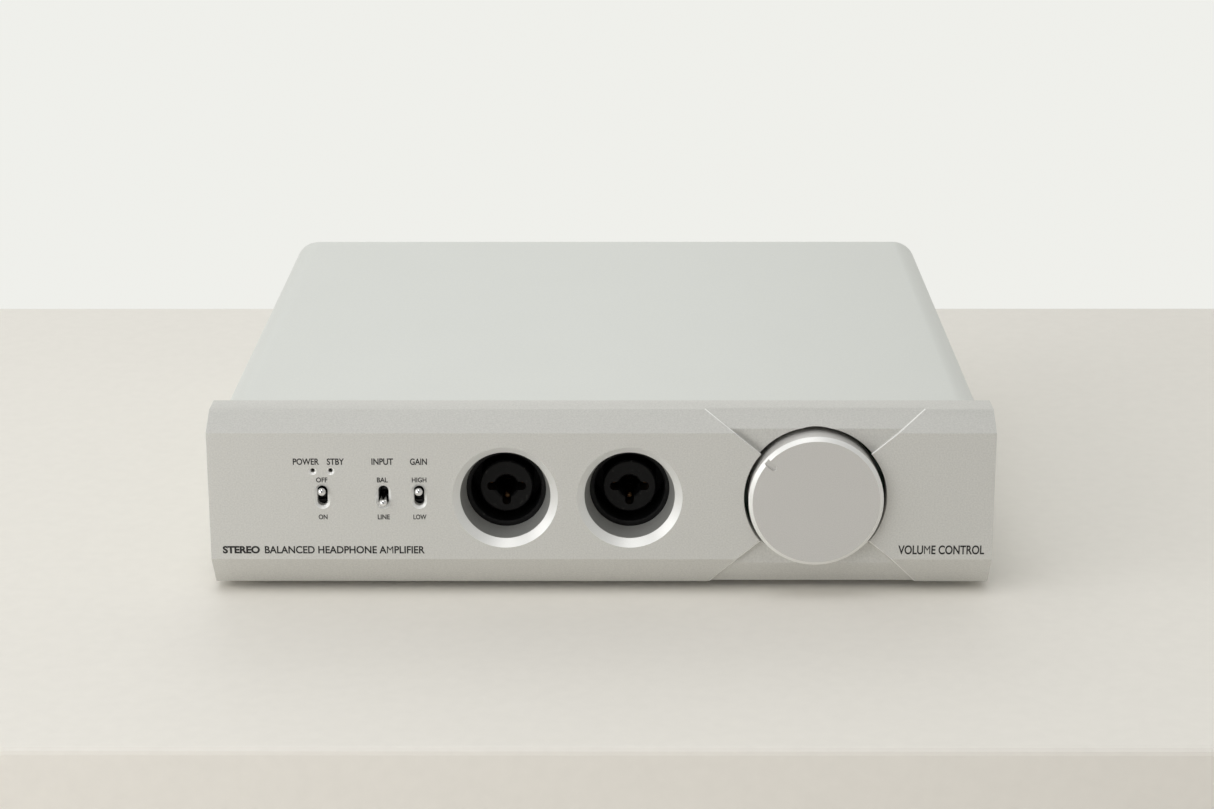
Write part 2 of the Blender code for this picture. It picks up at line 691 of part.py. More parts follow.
def make_boards(material):
    low_z = TRAY_RIM_Z + FRONT_BOARD_EDGE
    high_z = PANEL_TOP - PANEL_RIM_WALL - FRONT_BOARD_EDGE
    half = HALF_WIDTH - FRONT_BOARD_MARGIN
    front = block((-half, FRONT_BOARD_Y, low_z), (half, FRONT_BOARD_BACK, high_z))
    front_board = piece("front_board", front, material)
    ends = (FRONT_BOARD_Y - OVERCUT, FRONT_BOARD_BACK + OVERCUT)
    for _, x in SOCKETS_X:
        cut(front_board, rod("Y", (x, CONTROL_Z), SOCKET_RADIUS + GAP, *ends, 32))
    cut(front_board, rod("Y", (KNOB_X, CONTROL_Z), BUSHING_RADIUS + GAP, *ends, 20))
    half = INNER_HALF_WIDTH - TRAY_WALL - MAIN_BOARD_MARGIN
    front_y = CASE_FRONT + TRAY_WALL + MAIN_BOARD_MARGIN
    rear_y = TRAY_REAR_Y - TRAY_WALL - MAIN_BOARD_MARGIN
    main = block((-half, front_y, MAIN_BOARD_Z), (half, rear_y, MAIN_BOARD_TOP))
    piece("main_board", main, material)


def make_knob(knob_finish, steel):
    axis_point = (KNOB_X, FACE_Y, CONTROL_Z)
    centre = (KNOB_X, CONTROL_Z)
    front = FACE_Y - KNOB_PROUD
    hollow = front + KNOB_FACE_THICKNESS
    back = FACE_Y + KNOB_BACK
    profile = (
        (0, front),
        (KNOB_RADIUS - KNOB_BEVEL, front),
        (KNOB_RADIUS, front + KNOB_BEVEL),
        (KNOB_RADIUS, back),
        (KNOB_HOLLOW_RADIUS, back),
        (KNOB_HOLLOW_RADIUS, hollow),
        (KNOB_HUB_RADIUS, hollow),
        (KNOB_HUB_RADIUS, back),
        (SHAFT_RADIUS + FIT_GAP, back),
        (SHAFT_RADIUS + FIT_GAP, hollow + GAP),
        (0, hollow + GAP),
    )
    knob = piece("volume_knob", turned("Y", centre, profile, 64), knob_finish, axis_point)
    length = KNOB_MARK_LENGTH + 2 * OVERCUT
    mark_centre = (0, KNOB_RADIUS - KNOB_MARK_LENGTH + length / 2)
    mark = slot_outline(mark_centre, KNOB_MARK_WIDTH, length)
    marker = prism("Y", mark, front - OVERCUT, front + KNOB_MARK_DEPTH)
    marker.transform(Matrix.Rotation(math.radians(-KNOB_REST_ANGLE), 4, "Y"))
    marker.transform(Matrix.Translation((KNOB_X, 0, CONTROL_Z)))
    grub_y = (hollow + back) / 2
    access_end = CONTROL_Z - KNOB_RADIUS - OVERCUT
    access = rod("Z", (KNOB_X, grub_y), GRUB_RADIUS + GAP, access_end, CONTROL_Z, 16)
    cut(knob, marker, access)
    grub_top = CONTROL_Z - SHAFT_RADIUS - GAP
    grub = rod("Z", (KNOB_X, grub_y), GRUB_RADIUS, grub_top - GRUB_LENGTH, grub_top, 16)
    piece("knob_grub_screw", grub, steel, axis_point)
    shaft_end = pot_rear() - 2 * POT_REAR_WALL
    shaft = rod("Y", centre, SHAFT_RADIUS, hollow + 2 * GAP, shaft_end, 32)
    piece("volume_shaft", shaft, steel, axis_point)


def pot_rear():
    return FRONT_BOARD_BACK + GAP + POT_LENGTH


def make_potentiometer(body_finish, steel):
    centre = (KNOB_X, CONTROL_Z)
    body_front = FRONT_BOARD_BACK + GAP
    nose = body_front - BUSHING_LENGTH
    bore = SHAFT_RADIUS + RUNNING_GAP
    bore_end = pot_rear() - POT_REAR_WALL
    profile = (
        (bore, nose),
        (BUSHING_RADIUS, nose),
        (BUSHING_RADIUS, body_front),
        (POT_RADIUS, body_front),
        (POT_RADIUS, pot_rear()),
        (0, pot_rear()),
        (0, bore_end),
        (bore, bore_end),
    )
    piece("potentiometer", turned("Y", centre, profile, 32), body_finish)
    seat = FRONT_BOARD_Y - GAP
    ring = BUSHING_RADIUS + FIT_GAP
    hexagon = rod("Y", centre, NUT_RADIUS, seat - NUT_THICKNESS, seat, 6)
    nut = piece("potentiometer_nut", hexagon, steel)
    cut(nut, rod("Y", centre, ring, seat - NUT_THICKNESS - OVERCUT, seat + OVERCUT, 24))


def make_switches(housing, chrome):
    pivot_y = FACE_Y + LEVER_PIVOT_DEPTH
    body_front = FACE_Y + SWITCH_BODY_FRONT
    body_back = FRONT_BOARD_Y - GAP
    collar_front = FACE_Y + PANEL_SWITCH_WEB + GAP
    for use, x, up in SWITCHES:
        pivot = (x, pivot_y, SWITCH_Z)
        low = (x - SWITCH_WIDTH / 2, body_front, SWITCH_Z - SWITCH_HEIGHT / 2)
        high = (x + SWITCH_WIDTH / 2, body_back, SWITCH_Z + SWITCH_HEIGHT / 2)
        body = piece(f"{use}_switch_body", block(low, high), housing)
        add(body, rod("Y", (x, SWITCH_Z), SWITCH_COLLAR_RADIUS, collar_front, body_front + GAP, 16))
        seat = bmesh.new()
        seat_radius = LEVER_BALL_RADIUS + GAP
        bmesh.ops.create_uvsphere(seat, u_segments=10, v_segments=6, radius=seat_radius)
        seat.transform(Matrix.Translation(pivot))
        reach = LEVER_NECK_RADIUS + GAP
        wide = LEVER_TIP_RADIUS + GAP
        swing = (pivot_y - collar_front) * math.tan(math.radians(LEVER_HALF_THROW))
        throat = round_corners((x, SWITCH_Z), 2 * reach, 2 * reach, reach / 2, 2)
        opening = round_corners((x, SWITCH_Z), 2 * wide, 2 * (wide + swing), reach / 2, 2)
        mouth = ((throat, pivot_y), (opening, collar_front - GAP))
        cut(body, seat, loft("Y", mouth))
        lever = turned("Y", (0, 0), lever_profile(), 12)
        lever.transform(Matrix.Rotation(math.radians(-up * LEVER_HALF_THROW), 4, "X"))
        lever.transform(Matrix.Translation(pivot))
        piece(f"{use}_lever", lever, chrome, pivot)


def lever_profile():
    """(radius, y) from the ball at the pivot to the round tip in front of it."""
    points = [(0, LEVER_BALL_RADIUS)]
    for i in range(1, 7):
        angle = math.radians(90 - 25 * i)
        points.append((LEVER_BALL_RADIUS * math.cos(angle), LEVER_BALL_RADIUS * math.sin(angle)))
    points.append((LEVER_NECK_RADIUS, -LEVER_BALL_RADIUS * 1.15))
    points.append((LEVER_TIP_RADIUS * 0.94, -LEVER_LENGTH + LEVER_TIP_RADIUS * 0.6))
    for i in range(5):
        angle = math.radians(18 * i)
        along = -LEVER_LENGTH - LEVER_TIP_RADIUS * math.sin(angle)
        points.append((LEVER_TIP_RADIUS * math.cos(angle), along))
    points.append((0, -LEVER_LENGTH - LEVER_TIP_RADIUS))
    return points


def make_leds(material):
    front = FACE_Y + PANEL_SWITCH_WEB + GAP
    flange = FACE_Y + SWITCH_BODY_FRONT + LED_RADIUS
    back = FRONT_BOARD_Y - GAP
    profile = (
        (0, front),
        (LED_RADIUS / 2, front + LED_RADIUS * (1 - math.cos(math.radians(30)))),
        (LED_RADIUS, front + LED_RADIUS),
        (LED_RADIUS, flange),
        (LED_FLANGE_RADIUS, flange),
        (LED_FLANGE_RADIUS, back),
        (0, back),
    )
    for name, x in zip(("power_lamp", "standby_lamp"), led_places()):
        piece(name, turned("Y", (x, LED_Z), profile, 14), material)


def make_headphone_sockets(plastic, brass):
    front = SOCKET_FRONT_Y
    flange_back = front + SOCKET_FLANGE
    size = (SOCKET_FLANGE_WIDTH, SOCKET_FLANGE_HEIGHT, FLANGE_CORNER)
    for side, x in SOCKETS_X:
        centre = (x, CONTROL_Z)
        flange = prism("Y", round_corners(centre, *size, 3), front, flange_back)
        socket = piece(f"headphone_socket_{side}", flange, plastic)
        add(socket, rod("Y", centre, SOCKET_RADIUS, front + OVERCUT, front + SOCKET_LENGTH, 36))
        bottom = front + SOCKET_GROOVE_DEPTH
        groove = (
            (SOCKET_CORE_RADIUS, front - OVERCUT),
            (SOCKET_RIM_BORE, front - OVERCUT),
            (SOCKET_RIM_BORE, bottom),
            (SOCKET_CORE_RADIUS, bottom),
        )
        wide = (SOCKET_CORE_RADIUS + SOCKET_RIM_BORE) / 2
        inset = rod("Y", centre, wide, front - 2 * OVERCUT, front + SOCKET_CORE_INSET, 36)
        cut(socket, turned("Y", centre, groove, 36), inset)
        start = front + CONTACT_FROM_FRONT
        end = start + CONTACT_LENGTH
        bore = (
            (0, front),
            (JACK_RADIUS, front),
            (JACK_RADIUS, start - GAP),
            (JACK_RADIUS + CONTACT_WALL + GAP, start - GAP),
            (JACK_RADIUS + CONTACT_WALL + GAP, end + GAP),
            (JACK_RADIUS, end + GAP),
            (JACK_RADIUS, front + JACK_DEPTH),
            (0, front + JACK_DEPTH),
        )
        cut(socket, turned("Y", centre, bore, 24))
        for u, v in ((-1, 0), (1, 0), (0, -1)):
            spot = (x + u * PIN_HOLE_CIRCLE, CONTROL_Z + v * PIN_HOLE_CIRCLE)
            cut(socket, rod("Y", spot, PIN_HOLE_RADIUS, front, front + PIN_HOLE_DEPTH, 12))
        contact = (
            (JACK_RADIUS, start),
            (JACK_RADIUS + CONTACT_WALL, start),
            (JACK_RADIUS + CONTACT_WALL, end),
            (JACK_RADIUS, end),
        )
        piece(f"headphone_contact_{side}", turned("Y", centre, contact, 20), brass)


def make_balanced_sockets(plastic, chrome, screw_finish):
    front = BALANCED_FRONT_Y
    flange_back = REAR_FACE_Y + GAP
    size = (BALANCED_WIDTH, BALANCED_HEIGHT, FLANGE_CORNER)
    for side, x in balanced_places():
        centre = (x, REAR_Z)
        flange = prism("Y", round_corners(centre, *size, 3), flange_back, front)
        socket = piece(f"balanced_socket_{side}", flange, plastic)
        add(socket, rod("Y", centre, BALANCED_RADIUS, front - BALANCED_DEPTH, front - OVERCUT, 32))
        groove = (
            (BALANCED_CORE, front - BALANCED_GROOVE),
            (BALANCED_BORE, front - BALANCED_GROOVE),
            (BALANCED_BORE, front + OVERCUT),
            (BALANCED_CORE, front + OVERCUT),
        )
        wide = (BALANCED_CORE + BALANCED_BORE) / 2
        inset = rod("Y", centre, wide, front - BALANCED_CORE_INSET, front + 2 * OVERCUT, 32)
        cut(socket, turned("Y", centre, groove, 32), inset)
        for angle in (90, 210, 330):
            u = PIN_HOLE_CIRCLE * math.cos(math.radians(angle))
            v = PIN_HOLE_CIRCLE * math.sin(math.radians(angle))
            pin = (x + u, REAR_Z - v)
            cut(socket, rod("Y", pin, PIN_HOLE_RADIUS, front - PIN_HOLE_DEPTH, front, 10))
        for spot in balanced_screws(x):
            ends = (flange_back - OVERCUT, front + OVERCUT)
            cut(socket, rod("Y", spot, SCREW_HOLE_RADIUS, *ends, 12))
        half_width = LATCH_WIDTH / 2
        half_height = LATCH_HEIGHT / 2
        z = REAR_Z + LATCH_RISE
        room = SLIDE_GAP
        pocket_low = (x - half_width - room, front - LATCH_POCKET, z - half_height - room)
        pocket_high = (x + half_width + room, front + OVERCUT, z + half_height + room)
        cut(socket, block(pocket_low, pocket_high))
        inner_end = front - LATCH_POCKET + room + LATCH_TRAVEL
        latch_outline = round_corners((x, z), LATCH_WIDTH, LATCH_HEIGHT, LATCH_CORNER, 2)
        latch = prism("Y", latch_outline, inner_end, inner_end + LATCH_THICKNESS)
        piece(f"balanced_latch_{side}", latch, chrome, (x, inner_end, z))
        for spot, row in zip(balanced_screws(x), ("upper", "lower")):
            name = f"balanced_screw_{side}_{row}"
            screw(name, "Y", spot, front + SEAT_GAP, -1, screw_finish, BALANCED_SCREW_LENGTH)


def make_phono_sockets(shell_finish, left_finish, right_finish):
    bore = PHONO_RADIUS - PHONO_WALL
    inner_end = REAR_INNER_Y - PHONO_SHELL_TAIL
    insulator_end = inner_end - PHONO_INSULATOR_TAIL
    outer_end = REAR_FACE_Y + PHONO_PROUD
    nut_back = REAR_FACE_Y + GAP
    for name, x, z in phono_places():
        shell = (
            (bore, inner_end),
            (PHONO_RADIUS, inner_end),
            (PHONO_RADIUS, nut_back),
            (PHONO_NUT_RADIUS, nut_back),
            (PHONO_NUT_RADIUS, nut_back + PHONO_NUT),
            (PHONO_RADIUS, nut_back + PHONO_NUT),
            (PHONO_RADIUS, outer_end),
            (bore, outer_end),
        )
        piece(f"phono_shell_{name}", turned("Y", (x, z), shell, 20), shell_finish)
        core = bore - GAP
        tip = outer_end - PHONO_INSET
        insulator = (
            (0, insulator_end),
            (core, insulator_end),
            (core, tip),
            (PHONO_PIN_BORE, tip),
            (PHONO_PIN_BORE, tip - PHONO_PIN_DEPTH),
            (0, tip - PHONO_PIN_DEPTH),
        )
        colour = left_finish if name.endswith("left") else right_finish
        piece(f"phono_insulator_{name}", turned("Y", (x, z), insulator, 20), colour)


def make_inlet(plastic):
    x, z = inlet_place()
    half = INLET_SIZE / 2
    back = REAR_INNER_Y - GAP
    low = (x - half, back - INLET_DEPTH, z - half)
    inlet = piece("power_inlet", block(low, (x + half, back, z + half)), plastic)
    nose = REAR_FACE_Y + GAP
    add(inlet, rod("Y", (x, z), INLET_NOSE_RADIUS, back - half, nose, 20))
    bore = (
        (INLET_PIN_RADIUS, nose - INLET_BORE_DEPTH),
        (INLET_RADIUS, nose - INLET_BORE_DEPTH),
        (INLET_RADIUS, nose + OVERCUT),
        (0, nose + OVERCUT),
        (0, nose - INLET_PIN_INSET),
        (INLET_PIN_RADIUS, nose - INLET_PIN_INSET),
    )
    cut(inlet, turned("Y", (x, z), bore, 20))


def sink_outline(x, z):
    """End view of a finned heat sink standing on z: a base plate with upright fins."""
    half = SINK_WIDTH / 2
    pitch = (SINK_WIDTH - SINK_FIN) / (SINK_FINS - 1)
    points = [(x - half, z), (x + half, z)]
    for i in range(SINK_FINS):
        right = x + half - i * pitch
        if i:
            points.append((right, z + SINK_BASE))
        points.append((right, z + SINK_HEIGHT))
        points.append((right - SINK_FIN, z + SINK_HEIGHT))
        if i < SINK_FINS - 1:
            points.append((right - SINK_FIN, z + SINK_BASE))
    return points


def make_inner_parts(aluminium, sleeve, relay_finish, ribbon_finish):
    floor = MAIN_BOARD_TOP + GAP
    middle_y = (CASE_FRONT + TRAY_REAR_Y) / 2
    for side, x in (("left", -SINK_FROM_MIDDLE), ("right", SINK_FROM_MIDDLE)):
        ends = (middle_y - SINK_REACH / 2, middle_y + SINK_REACH / 2)
        piece(f"heat_sink_{side}", prism("Y", sink_outline(x, floor), *ends), aluminium)
    profile = (
        (0, floor),
        (CAPACITOR_RADIUS, floor),
        (CAPACITOR_RADIUS, floor + CAPACITOR_HEIGHT - CAPACITOR_BEVEL),
        (CAPACITOR_RADIUS - CAPACITOR_BEVEL, floor + CAPACITOR_HEIGHT),
        (0, floor + CAPACITOR_HEIGHT),
    )
    cap_x = SINK_FROM_MIDDLE + SINK_WIDTH / 2 + INNER_SPACE + CAPACITOR_RADIUS
    for side, x in (("left", -cap_x), ("right", cap_x)):
        piece(f"capacitor_{side}", turned("Z", (x, middle_y), profile, 24), sleeve)
    width, depth, height = RELAY_SIZE
    relay_rear = middle_y - SINK_REACH / 2 - INNER_SPACE
    low = (-width / 2, relay_rear - depth, floor)
    relay = block(low, (width / 2, relay_rear, floor + height))
    piece("muting_relay", relay, relay_finish)
    start = FRONT_BOARD_BACK + GAP
    z = TRAY_RIM_Z + RIBBON_RISE
    drop = CASE_FRONT + TRAY_WALL + MAIN_BOARD_MARGIN + RIBBON_FROM_EDGE
    outline = (
        (start, z),
        (drop - RIBBON, z),
        (drop - RIBBON, floor),
        (drop, floor),
        (drop, z + RIBBON),
        (start, z + RIBBON),
    )
    ends = (POWER_X - RIBBON_WIDTH / 2, POWER_X + RIBBON_WIDTH / 2)
    piece("ribbon_cable", prism("X", outline, *ends), ribbon_finish)


def build():
    clear_scene()
    anodised = finish("bead_blasted_anodised", (0.60, 0.59, 0.56), 0.42, 0.9)
    painted = finish("satin_case_paint", (0.60, 0.61, 0.58), 0.45, 0.1)
    plate = finish("zinc_plated_steel", (0.55, 0.56, 0.56), 0.35, 1.0)
    turned_metal = finish("fine_turned_aluminium", (0.58, 0.56, 0.54), 0.35, 0.95)
    chrome = finish("chrome", (0.80, 0.80, 0.80), 0.08, 1.0)
    black_steel = finish("black_steel", (0.03, 0.03, 0.03), 0.4, 0.8)
    black_plastic = finish("black_nylon", (0.012, 0.012, 0.013), 0.45, 0.0)
    rubber = finish("foot_rubber", (0.02, 0.02, 0.02), 0.8, 0.0)
    laminate = finish("board_laminate", (0.02, 0.14, 0.06), 0.4, 0.0)
    smoked = finish("smoked_lens", (0.05, 0.05, 0.06), 0.2, 0.0)
    nickel = finish("nickel", (0.65, 0.62, 0.56), 0.2, 1.0)
    white = finish("white_insulator", (0.75, 0.74, 0.70), 0.5, 0.0)
    red = finish("red_insulator", (0.45, 0.02, 0.02), 0.5, 0.0)
    brass = finish("brass", (0.60, 0.42, 0.18), 0.3, 1.0)
    sleeve = finish("capacitor_sleeve", (0.02, 0.03, 0.06), 0.35, 0.0)
    relay_finish = finish("relay_case", (0.03, 0.03, 0.04), 0.5, 0.0)
    ribbon_finish = finish("ribbon", (0.35, 0.36, 0.38), 0.5, 0.0)
    make_front_panel(anodised)
    make_cover(painted)
    make_tray(plate)
    make_rear_panel(painted)
    make_feet(rubber)
    make_screws(black_steel)
    make_boards(laminate)
    make_knob(turned_metal, plate)
    make_potentiometer(black_plastic, nickel)
    make_switches(black_plastic, chrome)
    make_leds(smoked)
    make_headphone_sockets(black_plastic, brass)
    make_balanced_sockets(black_plastic, nickel, black_steel)
    make_phono_sockets(nickel, white, red)
    make_inlet(black_plastic)
    make_inner_parts(plate, sleeve, relay_finish, ribbon_finish)


build()
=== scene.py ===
import json
import math
import bmesh
import bpy
from mathutils import Matrix, Vector

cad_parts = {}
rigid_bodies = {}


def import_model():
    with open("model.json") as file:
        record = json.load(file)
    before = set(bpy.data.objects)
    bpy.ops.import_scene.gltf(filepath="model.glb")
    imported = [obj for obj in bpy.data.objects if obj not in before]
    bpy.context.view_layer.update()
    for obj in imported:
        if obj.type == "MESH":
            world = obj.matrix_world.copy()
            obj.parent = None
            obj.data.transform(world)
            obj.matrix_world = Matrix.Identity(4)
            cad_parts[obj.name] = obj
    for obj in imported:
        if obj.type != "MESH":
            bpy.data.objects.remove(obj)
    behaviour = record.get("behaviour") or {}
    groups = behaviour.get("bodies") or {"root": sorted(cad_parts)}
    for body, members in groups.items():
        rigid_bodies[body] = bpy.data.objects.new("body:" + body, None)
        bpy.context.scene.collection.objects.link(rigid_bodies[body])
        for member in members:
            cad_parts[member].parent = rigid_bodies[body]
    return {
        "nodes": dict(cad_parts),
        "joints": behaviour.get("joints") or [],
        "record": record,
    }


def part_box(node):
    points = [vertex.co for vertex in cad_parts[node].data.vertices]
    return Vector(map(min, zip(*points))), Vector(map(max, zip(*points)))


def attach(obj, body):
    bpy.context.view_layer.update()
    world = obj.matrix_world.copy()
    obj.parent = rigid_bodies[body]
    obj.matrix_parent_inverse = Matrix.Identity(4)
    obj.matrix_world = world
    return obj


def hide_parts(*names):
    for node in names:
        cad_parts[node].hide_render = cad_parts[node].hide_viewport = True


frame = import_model()
for leftover in [o for o in bpy.data.objects if o.name in ("Cube", "Light", "Camera")]:
    bpy.data.objects.remove(leftover)
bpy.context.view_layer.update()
record = frame["record"]
chassis = "chassis"
hinges = {j["name"]: Vector(j["pos_m"]) for j in frame["joints"] if j["type"] == "hinge"}
knobAxis = hinges["volume_turn"]
panelLow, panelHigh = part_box("front_panel")
faceY = panelLow.y
controlZ = knobAxis.z
overcut = 0.0005  # how far a cutter runs past the face that it opens
print("frame loaded:", len(frame["nodes"]), "nodes")


# shapes

def place(axis, u, v, along):
    if axis == "X":
        return Vector((along, u, v))
    if axis == "Y":
        return Vector((u, along, v))
    return Vector((u, v, along))


def loft(axis, sections):  # a closed solid through outlines of equal length
    mesh = bmesh.new()
    rings = [[mesh.verts.new(place(axis, u, v, along)) for u, v in outline]
             for outline, along in sections]
    count = len(rings[0])
    for ring, following in zip(rings, rings[1:]):
        for i in range(count):
            j = (i + 1) % count
            mesh.faces.new((ring[i], ring[j], following[j], following[i]))
    mesh.faces.new(rings[0])
    mesh.faces.new(rings[-1])
    bmesh.ops.recalc_face_normals(mesh, faces=mesh.faces)
    return mesh


def prism(axis, outline, start, end):
    return loft(axis, ((outline, start), (outline, end)))


def block(low, high):
    outline = ((low[0], low[1]), (high[0], low[1]), (high[0], high[1]), (low[0], high[1]))
    return prism("Z", outline, low[2], high[2])


def lathe(axis, centre, profile, segments=96):  # profile is (radius, place along the axis)
    mesh = bmesh.new()
    rings = []
    for radius, along in profile:
        if radius == 0:
            rings.append([mesh.verts.new(place(axis, centre[0], centre[1], along))])
            continue
        ring = []
        for i in range(segments):
            angle = 2 * math.pi * (i + 0.5) / segments
            u = centre[0] + radius * math.cos(angle)
            v = centre[1] + radius * math.sin(angle)
            ring.append(mesh.verts.new(place(axis, u, v, along)))
        rings.append(ring)
    for ring, following in zip(rings, rings[1:] + rings[:1]):
        for i in range(segments):
            j = (i + 1) % segments
            corners = [ring[i % len(ring)], ring[j % len(ring)]]
            corners += [following[j % len(following)], following[i % len(following)]]
            corners = list(dict.fromkeys(corners))
            if len(corners) > 2:
                mesh.faces.new(corners)
    bmesh.ops.recalc_face_normals(mesh, faces=mesh.faces)
    return mesh


def rod(axis, centre, radius, start, end, segments=48):
    return lathe(axis, centre, ((0, start), (radius, start), (radius, end), (0, end)), segments)


def soften(profile, radius, steps=3):  # rounds a closed outline's corners that are off the axis
    rounded = []
    count = len(profile)
    for i, point in enumerate(profile):
        here = Vector(point)
        before = Vector(profile[i - 1]) - here
        after = Vector(profile[(i + 1) % count]) - here
        if point[0] == 0 or before.length < 1e-7 or after.length < 1e-7:
            rounded.append(tuple(point))
            continue
        reach = min(radius, before.length * 0.45, after.length * 0.45)
        start = here + before.normalized() * reach
        end = here + after.normalized() * reach
        for k in range(steps + 1):
            t = k / steps
            spot = start * (1 - t) ** 2 + here * (2 * t * (1 - t)) + end * t ** 2
            rounded.append((spot.x, spot.y))
    return rounded


def arc(centre, radius, start, sweep, steps):  # steps + 1 points, with the angles in degrees
    points = []
    for i in range(steps + 1):
        angle = math.radians(start + sweep * i / steps)
        points.append((centre[0] + radius * math.cos(angle), centre[1] + radius * math.sin(angle)))
    return points


def slotOutline(centre, width, height, steps=16):  # an upright slot with round ends
    radius = width / 2
    straight = height / 2 - radius
    return (arc((centre[0], centre[1] + straight), radius, 0, 180, steps)
            + arc((centre[0], centre[1] - straight), radius, 180, 180, steps))


def roundedBox(centre, width, height, radius, steps=8):
    outline = []
    for k, (su, sv) in enumerate(((1, 1), (-1, 1), (-1, -1), (1, -1))):
        corner = (centre[0] + su * (width / 2 - radius), centre[1] + sv * (height / 2 - radius))
        outline += arc(corner, radius, 90 * k, 90, steps)
    return outline


def hexagon(radius):
    return arc((0, 0), radius, 0, 300, 5)


def solid(name, mesh):
    data = bpy.data.meshes.new(name)
    mesh.to_mesh(data)
    mesh.free()
    obj = bpy.data.objects.new(name, data)
    bpy.context.scene.collection.objects.link(obj)
    return obj


def meshOf(obj):  # takes the mesh out of an object, which goes
    mesh = bmesh.new()
    mesh.from_mesh(obj.data)
    bpy.data.objects.remove(obj)
    return mesh


def applyAll(obj):  # turns an object with its modifiers into a plain mesh
    bpy.context.view_layer.update()
    graph = bpy.context.evaluated_depsgraph_get()
    data = bpy.data.meshes.new_from_object(obj.evaluated_get(graph))
    obj.modifiers.clear()
    obj.data = data
    return obj


def combine(obj, operation, meshes):
    helpers = []
    for mesh in meshes:
        helper = solid(obj.name + "_cutter", mesh)
        modifier = obj.modifiers.new(operation, "BOOLEAN")
        modifier.operation = operation
        modifier.object = helper
        helpers.append(helper)
    applyAll(obj)
    for helper in helpers:
        bpy.data.objects.remove(helper)


def cut(obj, *meshes):
    combine(obj, "DIFFERENCE", meshes)


def add(obj, *meshes):
    combine(obj, "UNION", meshes)


def smoothShading(obj, degrees=30):
    obj.data.shade_smooth()
    obj.data.set_sharp_from_angle(angle=math.radians(degrees))
    weighted = obj.modifiers.new("weightedNormals", "WEIGHTED_NORMAL")
    weighted.keep_sharp = True
    weighted.weight = 100
    applyAll(obj)


def bevelEdges(obj, width, degrees=50, segments=2):
    bevel = obj.modifiers.new("edges", "BEVEL")
    bevel.width = width
    bevel.segments = segments
    bevel.limit_method = "ANGLE"
    bevel.angle_limit = math.radians(degrees)
    bevel.use_clamp_overlap = False
    applyAll(obj)


def finishPiece(obj, body, slot, names, *stands, degrees=30):
    smoothShading(obj, degrees)
    painted = [min(polygon.material_index, len(names) - 1) for polygon in obj.data.polygons]
    obj.data.materials.clear()
    for name in names:
        obj.data.materials.append(finishes[name])
    obj.data.polygons.foreach_set("material_index", painted)
    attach(obj, body)
    if stands:
        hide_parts(*stands)
    return obj


def paintFaces(obj, index, chosen):  # gives the faces that chosen accepts another material
    for polygon in obj.data.polygons:
        if chosen(polygon.center, polygon.normal):
            polygon.material_index = index


def joined(*meshes):  # several closed solids as one mesh
    whole = bmesh.new()
    for mesh in meshes:
        data = bpy.data.meshes.new("joined")
        mesh.to_mesh(data)
        mesh.free()
        whole.from_mesh(data)
        bpy.data.meshes.remove(data)
    return whole


# node groups shared by the materials

def newGroup(name, inputs, outputs):
    tree = bpy.data.node_groups.new(name, "ShaderNodeTree")
    for label, value in inputs:
        socket = tree.interface.new_socket(label, in_out="INPUT", socket_type="NodeSocketFloat")
        socket.default_value = value
    for label in outputs:
        tree.interface.new_socket(label, in_out="OUTPUT", socket_type="NodeSocketFloat")
    return tree, tree.nodes.new("NodeGroupInput").outputs, tree.nodes.new("NodeGroupOutput").inputs


def newNode(tree, kind, inputs=(), **settings):  # an input takes a value or another node's output
    node = tree.nodes.new(kind)
    for key, value in settings.items():
        setattr(node, key, value)
    for key, value in dict(inputs).items():
        if isinstance(value, bpy.types.NodeSocket):
            tree.links.new(value, node.inputs[key])
        else:
            node.inputs[key].default_value = value
    return node


def calculate(tree, operation, *terms):
    return newNode(tree, "ShaderNodeMath", enumerate(terms), operation=operation).outputs[0]


def mapRange(tree, value, start, end, low=0.0, high=1.0):
    ends = {"From Min": start, "From Max": end, "To Min": low, "To Max": high}
    return newNode(tree, "ShaderNodeMapRange", {"Value": value, **ends}).outputs["Result"]


def mixColours(tree, share, first, second):
    return newNode(tree, "ShaderNodeMix", {0: share, 6: first, 7: second}, data_type="RGBA").outputs[2]


def noise(tree, size, detail, seed):  # noise whose lumps are about size metres wide
    spot = newNode(tree, "ShaderNodeTexCoord").outputs["Object"]
    offset = (seed, seed * 0.7, seed * 1.3)
    shift = newNode(tree, "ShaderNodeVectorMath", {0: spot, 1: offset}, operation="ADD")
    inputs = {"Vector": shift.outputs[0], "Scale": calculate(tree, "DIVIDE", 1.0, size),
              "Detail": detail, "Roughness": 0.55}
    return newNode(tree, "ShaderNodeTexNoise", inputs).outputs["Fac"]


def makeGrainGroup():  # the fine texture of a blasted, painted or moulded surface
    tree, inner, outer = newGroup("fineGrain", (("Size", 0.0005), ("Contrast", 0.05)), ("Shade", "Height"))
    grain = noise(tree, inner["Size"], 3.0, 0.31)
    low = calculate(tree, "SUBTRACT", 1.0, inner["Contrast"])
    high = calculate(tree, "ADD", 1.0, inner["Contrast"])
    tree.links.new(mapRange(tree, grain, 0.3, 0.7, low, high), outer["Shade"])
    tree.links.new(grain, outer["Height"])
    return tree


def makeHandlingGroup():  # broad, faint changes of gloss, as from handling
    tree, inner, outer = newGroup("handling", (("Size", 0.03), ("Strength", 0.04)), ("Offset",))
    centred = calculate(tree, "SUBTRACT", noise(tree, inner["Size"], 4.0, 0.77), 0.5)
    tree.links.new(calculate(tree, "MULTIPLY", centred, inner["Strength"]), outer["Offset"])
    return tree


